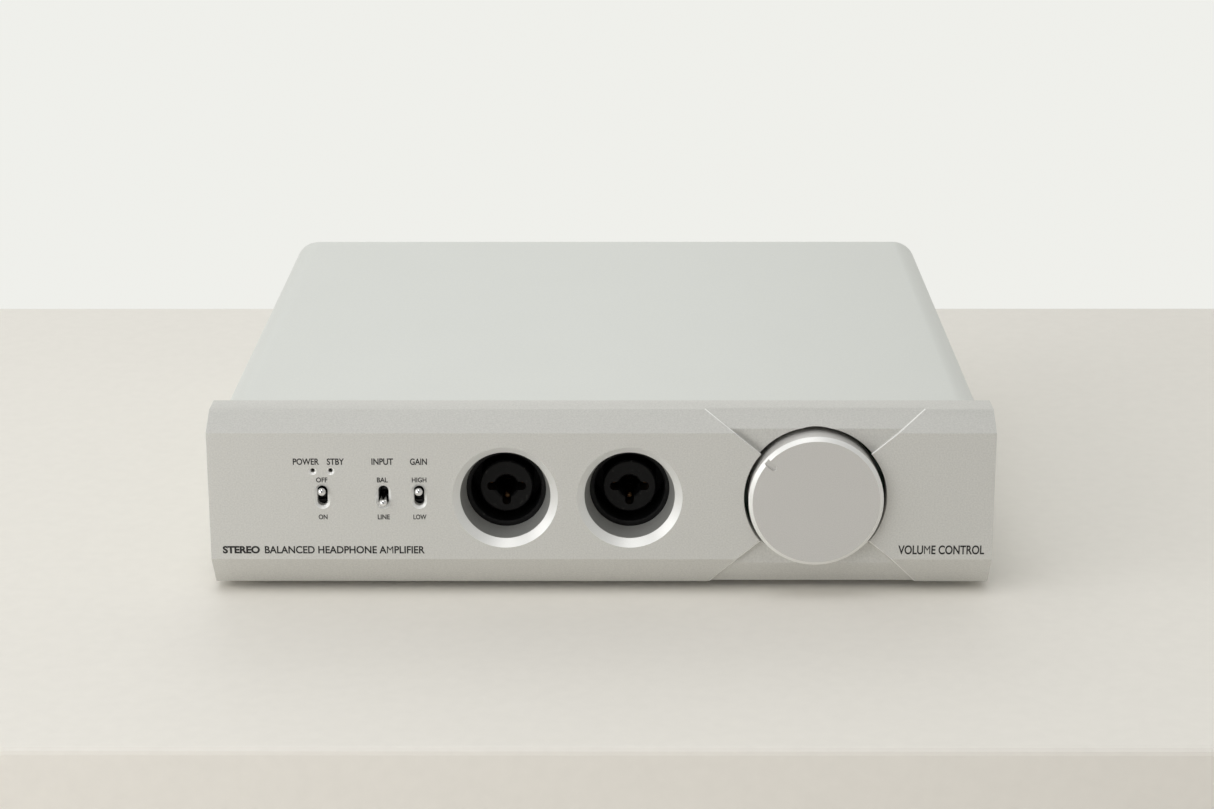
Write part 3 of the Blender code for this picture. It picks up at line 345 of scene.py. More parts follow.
def makeDustGroup():  # specks of dust, thickest on what faces up
    tree, inner, outer = newGroup("dustSpecks", (("Size", 0.0012), ("Amount", 0.1)), ("Mask",))
    specks = mapRange(tree, noise(tree, inner["Size"], 2.0, 1.9), 0.66, 0.74)
    normal = newNode(tree, "ShaderNodeNewGeometry").outputs["Normal"]
    facing = newNode(tree, "ShaderNodeSeparateXYZ", {0: normal}).outputs["Z"]
    upward = mapRange(tree, facing, -0.2, 0.9, 0.15)
    both = calculate(tree, "MULTIPLY", specks, upward)
    tree.links.new(calculate(tree, "MULTIPLY", both, inner["Amount"]), outer["Mask"])
    return tree


grainGroup = makeGrainGroup()
handlingGroup = makeHandlingGroup()
dustGroup = makeDustGroup()
dustColour = (0.62, 0.60, 0.56, 1.0)


usualLook = {"metal": 0.0, "coat": 0.0, "specular": 0.5, "patch": 0.03, "handling": 0.05, "dust": 0.1}


def surface(name, colour, rough, grain, contrast, bump, others):  # grain is its size in metres
    look = {**usualLook, **others}
    material = bpy.data.materials.new(name)
    material.use_nodes = True
    tree = material.node_tree
    texture = newNode(tree, "ShaderNodeGroup", {"Size": grain, "Contrast": contrast}, node_tree=grainGroup)
    wear = newNode(tree, "ShaderNodeGroup", {"Size": look["patch"], "Strength": look["handling"]},
                   node_tree=handlingGroup)
    dust = newNode(tree, "ShaderNodeGroup", {"Amount": look["dust"]}, node_tree=dustGroup).outputs["Mask"]
    tinted = newNode(tree, "ShaderNodeVectorMath", {0: colour, "Scale": texture.outputs["Shade"]},
                     operation="SCALE")
    gloss = calculate(tree, "ADD", rough, wear.outputs["Offset"])
    relief = newNode(tree, "ShaderNodeBump", {"Strength": bump, "Distance": grain * 0.3,
                                              "Height": texture.outputs["Height"]})
    shader = tree.nodes["Principled BSDF"]
    fixed = {"Metallic": look["metal"], "Coat Weight": look["coat"], "Coat Roughness": 0.15,
             "Specular IOR Level": look["specular"]}
    for key, value in fixed.items():
        shader.inputs[key].default_value = value
    tree.links.new(mixColours(tree, dust, tinted.outputs[0], dustColour), shader.inputs["Base Color"])
    tree.links.new(calculate(tree, "MULTIPLY_ADD", dust, 0.4, gloss), shader.inputs["Roughness"])
    tree.links.new(relief.outputs["Normal"], shader.inputs["Normal"])
    return material


# colour, roughness, grain, its contrast, bump, and what isn't as in usualLook
looks = {
    "blastedAluminium": ((0.655, 0.65, 0.62), 0.60, 0.00045, 0.07, 0.35, {"metal": 0.32, "dust": 0.05}),
    "knobAluminium": ((0.65, 0.64, 0.62), 0.52, 0.0003, 0.05, 0.25, {"metal": 0.42, "dust": 0.05}),
    "cutAluminium": ((0.90, 0.90, 0.88), 0.50, 0.0002, 0.03, 0.05, {"metal": 0.60, "dust": 0.02}),
    # well walls: turned aluminium, glossier and more metallic than the face; their darker colour is painted
    # shade for the black socket reflected in them
    "turnedWell": ((0.50, 0.50, 0.48), 0.45, 0.0003, 0.05, 0.15, {"metal": 0.60, "dust": 0.03}),
    "satinCover": ((0.68, 0.695, 0.665), 0.48, 0.0006, 0.015, 0.10, {"metal": 0.22, "dust": 0.03}),
    "zincSteel": ((0.55, 0.56, 0.56), 0.34, 0.0015, 0.10, 0.05, {"metal": 1.0, "handling": 0.15}),
    "finAluminium": ((0.05, 0.05, 0.05), 0.45, 0.0006, 0.10, 0.15, {"metal": 0.6}),
    "chrome": ((0.80, 0.80, 0.80), 0.08, 0.0008, 0.02, 0.01, {"metal": 1.0, "handling": 0.04, "dust": 0.02}),
    "nickel": ((0.66, 0.63, 0.57), 0.18, 0.0008, 0.04, 0.02, {"metal": 1.0, "handling": 0.10, "dust": 0.03}),
    "blackScrew": ((0.03, 0.03, 0.03), 0.38, 0.0004, 0.15, 0.10, {"metal": 0.7, "dust": 0.05}),
    "blackNylon": ((0.011, 0.011, 0.012), 0.42, 0.0004, 0.15, 0.12, {"dust": 0.10}),
    "blackSocket": ((0.005, 0.005, 0.0052), 0.42, 0.0005, 0.10, 0.08, {"specular": 0.14, "dust": 0.10}),
    "brass": ((0.34, 0.19, 0.09), 0.36, 0.0008, 0.08, 0.04, {"metal": 1.0}),
    "footRubber": ((0.018, 0.018, 0.018), 0.75, 0.0006, 0.20, 0.25, {"dust": 0.20}),
    "boardLaminate": ((0.015, 0.10, 0.045), 0.35, 0.0009, 0.12, 0.10, {"coat": 0.3}),
    "smokedLens": ((0.03, 0.03, 0.035), 0.15, 0.0006, 0.05, 0.02, {"coat": 0.5}),
    "whiteInsulator": ((0.72, 0.71, 0.67), 0.45, 0.0005, 0.04, 0.06, {}),
    "redInsulator": ((0.42, 0.02, 0.018), 0.42, 0.0005, 0.08, 0.06, {}),
    "capacitorSleeve": ((0.012, 0.02, 0.05), 0.30, 0.0008, 0.08, 0.06, {"coat": 0.3}),
    "ribbonPlastic": ((0.33, 0.34, 0.36), 0.50, 0.0007, 0.08, 0.12, {}),
    "blackInk": ((0.014, 0.013, 0.013), 0.55, 0.0003, 0.20, 0.08, {"dust": 0.0}),
    "paleTable": ((0.89, 0.86, 0.80), 0.65, 0.004, 0.012, 0.04,
                  {"patch": 0.12, "handling": 0.06, "dust": 0.0}),
    "paleShelf": ((0.76, 0.725, 0.67), 0.65, 0.004, 0.012, 0.04, {"dust": 0.0}),
}
finishes = {name: surface(name, *look) for name, look in looks.items()}
slotFinishes = {
    "bead_blasted_aluminium": "blastedAluminium", "case_paint": "satinCover",
    "turned_aluminium": "knobAluminium", "plated_steel": "zincSteel",
    "sink_aluminium": "finAluminium", "chrome": "chrome", "nickel": "nickel",
    "black_steel": "blackScrew", "black_nylon": "blackNylon", "brass": "brass",
    "foot_rubber": "footRubber", "board_laminate": "boardLaminate", "lamp_lens": "smokedLens",
    "white_insulator": "whiteInsulator", "red_insulator": "redInsulator",
    "capacitor_sleeve": "capacitorSleeve", "ribbon": "ribbonPlastic",
}
for part in record["subparts"]:
    data = frame["nodes"][part["node"]].data
    data.materials.clear()
    data.materials.append(finishes[slotFinishes[part["material_slot"]]])
print("materials made:", len(finishes))


# front panel

panelSizes = {
    "web": 0.0084, "rimWall": 0.0040, "switchWeb": 0.0030,
    "topRise": 0.0044, "topRun": 0.0084, "lowRise": 0.0092, "lowRun": 0.0070,
    "wedgeStep": 0.00245, "wedgeTopStep": 0.0013, "wedgeLowStep": 0.0010,
    "wedgeHalfWidth": 0.0154, "wedgeRise": 0.0130, "wedgeSpread": 1.19,
    "wedgeTopTilt": 0.28, "wedgeLowTilt": 0.41, "wedgeEdge": 0.00030,
    "knobHole": 0.0200, "wellMouth": 0.0148, "wellBevel": 0.0021, "wellFoot": 0.01125,
    "slotWidth": 0.0029, "slotHeight": 0.0059, "slotBevel": 0.00075,
    "lampHole": 0.0006, "lampBevel": 0.00055, "edge": 0.00012,
    "screwBoss": 0.0035, "boardBoss": 0.0025, "boardBossRise": 0.0110, "boardBossFromEnd": 0.0200,
    "boardGap": 0.0003, "screwHole": 0.00155, "screwHoleDepth": 0.0060, "pocketMargin": 0.0025,
    "knobHoleSkim": 0.0010, "wedgeBeyond": 0.004, "ringFacing": (0.62, 0.80), "ringFromEnd": 0.002,
    "ringFromKnob": 0.022, "ringFromMiddle": 0.0165,
}
socketSides = ("left", "right")
switchUses = ("power", "input", "gain")


def middleOf(node):
    low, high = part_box(node)
    return (low + high) / 2


def frontOf(node):  # a node's two corners, and the middle of its outline across and up
    low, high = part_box(node)
    return low, high, ((low.x + high.x) / 2, (low.z + high.z) / 2)


def roundedPlate(name, low, high, corner, start, end):
    outline = roundedBox(((low.x + high.x) / 2, (low.z + high.z) / 2),
                         high.x - low.x, high.z - low.z, corner)
    return solid(name, prism("Y", outline, start, end))


def spotOf(node):  # where a node's middle is, across and up
    middle = middleOf(node)
    return middle.x, middle.z


def wedgeWalls(up, tilt):  # the ways that the two side walls of a wedge face
    spread = panelSizes["wedgeSpread"]
    return [Vector((side, -up * spread * tilt, -up * spread)) for side in (-1, 1)]


def wedgeCutter(up, edgeZ, rise, run, edgeStep, tilt):  # the sunk face above or below the knob
    size = panelSizes
    beyond = size["wedgeBeyond"]
    slope = run / rise
    front, bottom = faceY - beyond, faceY + size["wedgeStep"]
    breakZ = edgeZ - up * (run + edgeStep - size["wedgeStep"]) / slope
    outline = (
        (front, controlZ), (bottom, controlZ), (bottom, breakZ),
        (faceY + run + edgeStep + beyond * slope, edgeZ + up * beyond), (front, edgeZ + up * beyond),
    )
    half = panelHigh.x
    mesh = prism("X", outline, knobAxis.x - half, knobAxis.x + half)
    for outward in wedgeWalls(up, tilt):
        across = knobAxis.x + outward.x * size["wedgeHalfWidth"]
        corner = Vector((across, faceY, controlZ + up * size["wedgeRise"]))
        geometry = mesh.verts[:] + mesh.edges[:] + mesh.faces[:]
        result = bmesh.ops.bisect_plane(mesh, geom=geometry, dist=1e-7, plane_co=corner,
                                        plane_no=outward, clear_outer=True)
        edges = [item for item in result["geom_cut"] if isinstance(item, bmesh.types.BMEdge)]
        bmesh.ops.edgeloop_fill(mesh, edges=edges)
        bmesh.ops.recalc_face_normals(mesh, faces=mesh.faces)
    return mesh


def bevelWedgeEdges(panel):  # the bright cut line where the face drops to a wedge
    size = panelSizes
    walls = [-outward.normalized() for up, tilt in ((1, size["wedgeTopTilt"]), (-1, size["wedgeLowTilt"]))
             for outward in wedgeWalls(up, tilt)]
    mesh = bmesh.new()
    mesh.from_mesh(panel.data)
    weight = mesh.edges.layers.float.new("bevel_weight_edge")
    for edge in mesh.edges:
        if len(edge.link_faces) != 2 or not edge.is_convex:
            continue
        pair = list(edge.link_faces)
        for wall, outer in (pair, pair[::-1]):
            onWall = any(wall.normal.dot(normal) > 0.995 for normal in walls)
            if onWall and abs(outer.normal.x) < 0.05 and outer.normal.y < -0.2:
                edge[weight] = 1.0
    mesh.to_mesh(panel.data)
    mesh.free()
    bevel = panel.modifiers.new("wedgeEdges", "BEVEL")
    bevel.limit_method = "WEIGHT"
    bevel.width = size["wedgeEdge"]
    bevel.segments = 1
    bevel.material = 1
    bevel.use_clamp_overlap = False
    applyAll(panel)


def makeFrontPanel():
    size = panelSizes
    outline = (
        (faceY, panelLow.z + size["lowRise"]),
        (faceY + size["lowRun"], panelLow.z),
        (panelHigh.y, panelLow.z),
        (panelHigh.y, panelHigh.z),
        (faceY + size["topRun"], panelHigh.z),
        (faceY, panelHigh.z - size["topRise"]),
    )
    panel = solid("frontPanel", prism("X", outline, panelLow.x, panelHigh.x))
    for material in ("blastedAluminium", "cutAluminium", "turnedWell"):
        panel.data.materials.append(finishes[material])
    rim = size["rimWall"]
    webY = faceY + size["web"]
    pivots = [hinges[use + "_lever_tilt"] for use in switchUses]
    bodyLow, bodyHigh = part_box("power_switch_body")
    room = (bodyHigh.x - bodyLow.x) / 2 + size["pocketMargin"]
    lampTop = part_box("power_lamp")[1].z
    cut(panel,
        block((panelLow.x + rim, webY, panelLow.z + rim),
              (panelHigh.x - rim, panelHigh.y + overcut, panelHigh.z - rim)),
        block((pivots[0].x - room, faceY + size["switchWeb"], bodyLow.z - size["pocketMargin"]),
              (pivots[2].x + room, webY + overcut, lampTop + size["pocketMargin"] / 2)))
    screws = [spotOf("front_panel_screw_" + side) for side in socketSides]
    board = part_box("front_board")[0].y - size["boardGap"]
    bosses = [rod("Y", spot, size["screwBoss"], webY - overcut, panelHigh.y, 32) for spot in screws]
    for side in (-1, 1):
        for up in (-1, 1):
            spot = (side * (panelHigh.x - size["boardBossFromEnd"]), controlZ + up * size["boardBossRise"])
            bosses.append(rod("Y", spot, size["boardBoss"], webY - overcut, board, 32))
    add(panel, *bosses)
    wedges = (("Top", 1, panelHigh.z, "top"), ("Low", -1, panelLow.z, "low"))
    cut(panel, *(wedgeCutter(up, edgeZ, size[edge + "Rise"], size[edge + "Run"],
                             size[f"wedge{wedge}Step"], size[f"wedge{wedge}Tilt"])
                 for wedge, up, edgeZ, edge in wedges))
    knobCentre = (knobAxis.x, controlZ)
    rough = size["knobHole"] - size["knobHoleSkim"]
    cut(panel, rod("Y", knobCentre, rough, faceY - overcut, panelHigh.y, 64))
    bevelWedgeEdges(panel)
    cut(panel, rod("Y", knobCentre, size["knobHole"], faceY - overcut, panelHigh.y, 160))
    wells = [middleOf("headphone_socket_" + side).x for side in socketSides]
    foot, mouth, bevel = size["wellFoot"], size["wellMouth"], size["wellBevel"]
    profile = ((0, faceY - overcut), (mouth + overcut, faceY - overcut), (mouth - bevel, faceY + bevel),
               (foot, webY), (foot, webY + overcut), (0, webY + overcut))
    for x in wells:
        cut(panel, lathe("Y", (x, controlZ), profile, 144))
    through = faceY + size["switchWeb"] + overcut
    width, height, bevel = size["slotWidth"], size["slotHeight"], size["slotBevel"]
    grow = 2 * (bevel + overcut)
    for pivot in pivots:
        narrow = slotOutline((pivot.x, pivot.z), width, height)
        wide = slotOutline((pivot.x, pivot.z), width + grow, height + grow)
        cut(panel, loft("Y", ((wide, faceY - overcut), (narrow, faceY + bevel), (narrow, through))))
    hole, bevel = size["lampHole"], size["lampBevel"]
    profile = ((0, faceY - overcut), (hole + bevel + overcut, faceY - overcut), (hole, faceY + bevel),
               (hole, through), (0, through))
    for lamp in ("power_lamp", "standby_lamp"):
        cut(panel, lathe("Y", spotOf(lamp), profile, 40))
    for spot in screws:
        cut(panel, rod("Y", spot, size["screwHole"], panelHigh.y - size["screwHoleDepth"],
                       panelHigh.y + overcut, 24))
    bevelEdges(panel, size["edge"], 55)
    ringEnd = faceY + size["wellBevel"] * 1.05
    least, most = size["ringFacing"]

    def isCutRing(centre, normal):  # the 45 degree bevels of wells, slots and lamp holes
        return (least < -normal.y < most and centre.y <= ringEnd
                and abs(centre.x) <= panelHigh.x - size["ringFromEnd"]
                and abs(centre.x - knobAxis.x) >= size["ringFromKnob"]
                and abs(centre.z - controlZ) < size["ringFromMiddle"])

    def isWellWall(centre, normal):
        reach = min(math.hypot(centre.x - x, centre.z - controlZ) for x in wells)
        return reach < mouth - size["wellBevel"] * 0.9 and abs(normal.y) < 0.6 and centre.y < webY

    paintFaces(panel, 1, isCutRing)
    # the well walls get the darker aluminium: painted shade and painted reflection of the black socket inside
    # them
    paintFaces(panel, 2, isWellWall)
    smoothShading(panel, 28)
    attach(panel, chassis)
    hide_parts("front_panel")


makeFrontPanel()
print("front panel made")


# case

caseSizes = {"wall": 0.0016, "corner": 0.0080, "edge": 0.00035, "screwHole": 0.00155, "rearInset": 0.0019,
             "rearEdge": 0.00015, "socketHole": 0.0120, "phonoHole": 0.00445, "inletHole": 0.0045}


def caseOutline(halfWidth, top, corner, bottom, steps=20):
    outline = [(halfWidth, bottom)]
    for side, start in ((1, 0), (-1, 90)):
        outline += arc((side * (halfWidth - corner), top - corner), corner, start, 90, steps)
    return outline + [(-halfWidth, bottom)]


def makeCover():
    low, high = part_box("top_cover")
    wall, corner = caseSizes["wall"], caseSizes["corner"]
    outer = caseOutline(high.x, high.z, corner, low.z)
    inner = caseOutline(high.x - wall, high.z - wall, corner - wall, low.z)
    cover = solid("topCover", prism("Y", outer + inner[::-1], low.y, high.y))
    holes = []
    for row in ("front", "rear"):
        for side, sign in (("left", -1), ("right", 1)):
            spot = middleOf(f"cover_screw_{row}_{side}")
            ends = sorted((sign * (high.x + overcut), sign * (high.x - wall - overcut)))
            holes.append(rod("X", (spot.y, spot.z), caseSizes["screwHole"], *ends, 24))
    cut(cover, *holes)
    bevelEdges(cover, caseSizes["edge"], 60, 3)
    finishPiece(cover, chassis, "case_paint", ["satinCover"], "top_cover")


def balancedScrews(side):
    return [f"balanced_screw_{side}_{row}" for row in ("upper", "lower")]


def makeRearPanel():
    size = caseSizes
    low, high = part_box("rear_panel")
    outline = caseOutline(high.x, high.z, size["corner"] - size["rearInset"], low.z)
    panel = solid("rearPanel", prism("Y", outline, low.y, high.y))
    holes = []
    for side in socketSides:
        holes.append(("balanced_socket_" + side, size["socketHole"], 64))
        for screw in (*balancedScrews(side), "rear_panel_screw_" + side):
            holes.append((screw, size["screwHole"], 24))
        for use in ("input", "output"):
            holes.append((f"phono_shell_{use}_{side}", size["phonoHole"], 48))
    holes.append(("power_inlet", size["inletHole"], 48))
    cut(panel, *(rod("Y", spotOf(node), radius, low.y - overcut, high.y + overcut, segments)
                 for node, radius, segments in holes))
    bevelEdges(panel, size["rearEdge"], 60)
    finishPiece(panel, chassis, "case_paint", ["satinCover"], "rear_panel")


makeCover()
makeRearPanel()
print("cover and rear panel made")


# volume knob

knobSizes = {
    "radius": 0.01885, "bevel": 0.00110, "proud": 0.0039, "back": 0.0090, "hollow": 0.0145,
    "faceThickness": 0.0060, "hub": 0.0065, "bore": 0.0031, "markWidth": 0.0017,
    "markLength": 0.0040, "markDepth": 0.0006, "restAngle": 50.0, "grub": 0.0017, "edge": 0.00012,
    "shaftStop": 0.0003, "skirtEdge": 0.0004, "ringFacing": (-0.85, -0.5),
}


def makeKnob():
    size = knobSizes
    front = faceY - size["proud"]
    back = faceY + size["back"]
    hollow = front + size["faceThickness"]
    radius, bevel = size["radius"], size["bevel"]
    hub, bore, stop = size["hub"], size["bore"], hollow + size["shaftStop"]
    skirt = soften(((radius, back), (size["hollow"], back), (size["hollow"], hollow), (hub, hollow),
                    (hub, back), (bore, back), (bore, stop)), size["skirtEdge"])
    profile = [(0, front), (radius - bevel, front), (radius, front + bevel)] + skirt + [(0, stop)]
    knob = solid("volumeKnob", lathe("Y", (knobAxis.x, controlZ), profile, 192))
    length = size["markLength"] + 2 * overcut
    centre = (0, radius - size["markLength"] + length / 2)
    mark = prism("Y", slotOutline(centre, size["markWidth"], length),
                 front - overcut, front + size["markDepth"])
    mark.transform(Matrix.Rotation(math.radians(-size["restAngle"]), 4, "Y"))
    mark.transform(Matrix.Translation((knobAxis.x, 0, controlZ)))
    grubY = (hollow + back) / 2
    access = rod("Z", (knobAxis.x, grubY), size["grub"], controlZ - radius - overcut, controlZ, 32)
    cut(knob, mark, access)
    bevelEdges(knob, size["edge"], 60)
    least, most = size["ringFacing"]

    def isRing(centre, normal):
        reach = math.hypot(centre.x - knobAxis.x, centre.z - controlZ)
        return reach > radius - bevel and centre.y < front + bevel and least < normal.y < most

    paintFaces(knob, 1, isRing)
    finishPiece(knob, "volume_control", "turned_aluminium",
                ("knobAluminium", "cutAluminium"), "volume_knob")


makeKnob()
print("volume knob made")


# toggle levers

leverSizes = {"length": 0.0076, "tip": 0.00112, "neck": 0.00070, "ball": 0.0015, "halfThrow": 12.5,
              "neckFrom": 1.15, "shoulder": (0.94, 0.6)}


def leverProfile():  # a ball, a neck that widens, and a round tip, pointing down the axis
    size = leverSizes
    length, tip, ball = size["length"], size["tip"], size["ball"]
    wide, before = size["shoulder"]
    return [(0, ball), *arc((0, 0), ball, 77.5, -137.5, 11), (size["neck"], -ball * size["neckFrom"]),
            (tip * wide, -length + tip * before), *arc((0, -length), tip, 0, -82.5, 11), (0, -length - tip)]


for use, up in (("power", 1), ("input", -1), ("gain", 1)):
    mesh = lathe("Y", (0, 0), leverProfile(), 48)
    mesh.transform(Matrix.Rotation(math.radians(-up * leverSizes["halfThrow"]), 4, "X"))
    mesh.transform(Matrix.Translation(hinges[use + "_lever_tilt"]))
    lever = solid(use + "Lever", mesh)
    finishPiece(lever, use + "_toggle", "chrome", ["chrome"], use + "_lever", degrees=50)
print("levers made")


# headphone sockets

socketSizes = {
    "radius": 0.0118, "rimBore": 0.0100, "core": 0.0076, "inset": 0.0016, "groove": 0.0150,
    "jack": 0.00325, "jackDepth": 0.0300, "chamfer": 0.0004, "pinHole": 0.00125, "pinCircle": 0.0043,
    "pinDepth": 0.0120, "flange": 0.0020, "corner": 0.0030, "contact": 0.0009, "contactDepth": 0.0048,
    "ringStart": 0.0180, "ringLength": 0.0060, "ringWall": 0.0006, "ringEdge": 0.0001, "ringGap": 0.0003,
    "contactOut": 0.0002, "contactPoint": 0.0004, "contactLength": 0.0060,
}


def slotTowards(centre, u, v, radius, reach):  # a round-ended slot from the centre out to a pin hole
    start = math.degrees(math.atan2(v, u)) - 90
    return (arc((centre[0] + u * reach, centre[1] + v * reach), radius, start, 180, 16)
            + arc(centre, radius, start + 180, -180, 1))


def makeHeadphoneSocket(side):
    size = socketSizes
    node = "headphone_socket_" + side
    low, high, (x, _) = frontOf(node)
    front, centre = low.y, (x, controlZ)
    flange = roundedBox(centre, high.x - low.x, high.z - low.z, size["corner"])
    socket = solid("headphoneSocket_" + side, prism("Y", flange, front, front + size["flange"]))
    add(socket, rod("Y", centre, size["radius"], front + overcut, high.y, 96))
    core, rim, face, chamfer = size["core"], size["rimBore"], front + size["inset"], size["chamfer"]
    bottom = front + size["groove"]
    groove = (
        (core - chamfer, front - overcut), (rim + chamfer, front - overcut), (rim + chamfer, front),
        (rim, front + chamfer), (rim, bottom), (core, bottom), (core, face + chamfer), (core - chamfer, face),
    )
    cut(socket, lathe("Y", centre, groove, 96),
        rod("Y", centre, (core + rim) / 2, front - 2 * overcut, face, 96))
    start = front + size["ringStart"]
    end = start + size["ringLength"]
    jack, wall, gap = size["jack"], size["ringWall"], size["ringGap"]
    deep = front + size["jackDepth"]
    bore = (
        (0, face - overcut), (jack + chamfer + overcut, face - overcut), (jack, face + chamfer),
        (jack, start - gap), (jack + wall + gap, start - gap), (jack + wall + gap, end + gap),
        (jack, end + gap), (jack, deep), (0, deep),
    )
    cut(socket, lathe("Y", centre, bore, 64))
    ring = soften(((jack, start), (jack + wall, start), (jack + wall, end), (jack, end)), size["ringEdge"])
    contacts = [lathe("Y", centre, ring, 64)]
    tip, contact = face + size["contactDepth"], size["contact"]
    pin = ((0, tip), (contact * 0.6, tip), (contact, tip + size["contactPoint"]),
           (contact, tip + size["contactLength"]), (0, tip + size["contactLength"]))
    reach = size["pinCircle"] + size["contactOut"]
    for u, v in ((-1, 0), (1, 0), (0, -1)):
        slot = slotTowards(centre, u, v, size["pinHole"], size["pinCircle"])
        cut(socket, prism("Y", slot, face - overcut, face + size["pinDepth"]))
        contacts.append(lathe("Y", (x + u * reach, controlZ + v * reach), pin, 24))
    finishPiece(socket, chassis, "black_nylon", ["blackSocket"], node)
    brass = solid("headphoneContacts_" + side, joined(*contacts))
    finishPiece(brass, chassis, "brass", ["brass"], "headphone_contact_" + side)


for side in socketSides:
    makeHeadphoneSocket(side)
print("headphone sockets made")


# pieces that repeat, each made once and set at all its places by geometry nodes

def makeScatterTree():
    tree = bpy.data.node_groups.new("scatterPieces", "GeometryNodeTree")
    sockets = tree.interface
    sockets.new_socket("Geometry", in_out="OUTPUT", socket_type="NodeSocketGeometry")
    for label, kind, value in (
        ("Geometry", "NodeSocketGeometry", None), ("Piece", "NodeSocketObject", None),
        ("Size", "NodeSocketFloat", 1.0), ("Turn", "NodeSocketFloat", 0.0),
        ("Seed", "NodeSocketInt", 7), ("Material", "NodeSocketMaterial", None),
    ):
        socket = sockets.new_socket(label, in_out="INPUT", socket_type=kind)
        if value is not None:
            socket.default_value = value
    given = tree.nodes.new("NodeGroupInput").outputs
    piece = newNode(tree, "GeometryNodeObjectInfo", {"Object": given["Piece"]}, transform_space="ORIGINAL")
    aim = newNode(tree, "GeometryNodeInputNamedAttribute", {"Name": "aim"}, data_type="FLOAT_VECTOR")
    aligned = newNode(tree, "FunctionNodeAlignRotationToVector", {"Vector": aim.outputs[0]}, axis="Z")
    least = calculate(tree, "MULTIPLY", given["Turn"], -1.0)
    chance = newNode(tree, "FunctionNodeRandomValue", {2: least, 3: given["Turn"], "Seed": given["Seed"]},
                     data_type="FLOAT")
    spin = newNode(tree, "FunctionNodeAxisAngleToRotation", {"Axis": (0, 0, 1), "Angle": chance.outputs[1]})
    turned = newNode(tree, "FunctionNodeRotateRotation",
                     {"Rotation": aligned.outputs[0], "Rotate By": spin.outputs[0]}, rotation_space="LOCAL")
    copies = newNode(tree, "GeometryNodeInstanceOnPoints",
                     {"Points": given["Geometry"], "Instance": piece.outputs["Geometry"],
                      "Rotation": turned.outputs[0], "Scale": given["Size"]})
    real = newNode(tree, "GeometryNodeRealizeInstances", {"Geometry": copies.outputs[0]})
    painted = newNode(tree, "GeometryNodeSetMaterial",
                      {"Geometry": real.outputs[0], "Material": given["Material"]})
    newNode(tree, "NodeGroupOutput", {"Geometry": painted.outputs[0]})
    return tree


scatterTree = makeScatterTree()


def scatter(name, piece, places, slot, finish, nodes, turn=0.0, seed=7, degrees=30):
    # piece stands on the origin and points up; places holds (where, towards what)
    data = bpy.data.meshes.new(name)
    data.from_pydata([tuple(where) for where, _ in places], [], [])
    aims = data.attributes.new("aim", "FLOAT_VECTOR", "POINT")
    for item, (_, towards) in zip(aims.data, places):
        item.vector = towards
    obj = bpy.data.objects.new(name, data)
    bpy.context.scene.collection.objects.link(obj)
    modifier = obj.modifiers.new("scatter", "NODES")
    modifier.node_group = scatterTree
    values = {"Piece": piece, "Turn": turn, "Seed": seed, "Material": finishes[finish]}
    for item in scatterTree.interface.items_tree:
        if item.in_out == "INPUT" and item.name in values:
            modifier[item.identifier] = values[item.name]
    applyAll(obj)
    bpy.data.objects.remove(piece)
    finishPiece(obj, chassis, slot, [finish], *nodes, degrees=degrees)


screwSizes = {"head": 0.0027, "headHeight": 0.0014, "headEdge": 0.0001, "dome": 0.65, "shank": 0.00125,
              "shankTip": 0.0003, "short": 0.0060, "long": 0.0080, "key": 0.00105, "keyDepth": 0.0008,
              "keyMouth": (-0.0001, 0.0002), "thread": 0.0005, "threadDepth": 0.00012,
              "threadFrom": 0.0004, "plain": 0.0012, "turn": 3.0}


def screwPiece(length):  # a pan head on a threaded shank, with a six-sided key hole
    size = screwSizes
    top, reach, shank, edge = size["headHeight"], size["head"], size["shank"], size["headEdge"]
    tip, key = size["shankTip"], size["key"]
    profile = [(0, -length), (shank - tip, -length), (shank, -length + tip)]
    for i in range(int((length - size["plain"]) / size["thread"])):
        along = -length + size["threadFrom"] + i * size["thread"]
        profile += [(shank, along), (shank - size["threadDepth"], along + size["thread"] / 2)]
    dome = top * size["dome"]
    profile += [(shank, -tip), (shank, 0), (reach - edge, 0), (reach, edge),
                *arc((reach - dome, top - dome), dome, 0, 90, 8), (0, top)]
    screw = solid("screw", lathe("Z", (0, 0), profile, 40))
    straight, flared = size["keyMouth"]
    cut(screw, loft("Z", ((hexagon(key), top - size["keyDepth"]), (hexagon(key), top + straight),
                          (hexagon(key + flared - straight), top + flared))))
    return screw


def makeScrews():
    head = screwSizes["headHeight"]
    groups = {"short": [], "long": []}
    for row in ("front", "rear"):
        for side, sign in (("left", -1), ("right", 1)):
            node = f"cover_screw_{row}_{side}"
            outer = sign * max(sign * corner.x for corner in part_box(node))
            spot = middleOf(node)
            groups["short"].append((node, (outer - sign * head, spot.y, spot.z), (sign, 0, 0)))
    for side in socketSides:
        named = [(f"{panel}_screw_{side}", "short") for panel in ("rear_panel", "front_panel")]
        for node, group in named + [(node, "long") for node in balancedScrews(side)]:
            x, z = spotOf(node)
            groups[group].append((node, (x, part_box(node)[1].y - head, z), (0, 1, 0)))
    for group, entries in groups.items():
        scatter(group + "Screws", screwPiece(screwSizes[group]), [entry[1:] for entry in entries],
                "black_steel", "blackScrew", [entry[0] for entry in entries], screwSizes["turn"], 11)


footSizes = {"foot": 0.0072, "wide": 0.0078, "taper": 0.0010, "dish": 0.0038, "dishSlope": 0.0005,
             "dishDepth": 0.0008, "edge": 0.0004}


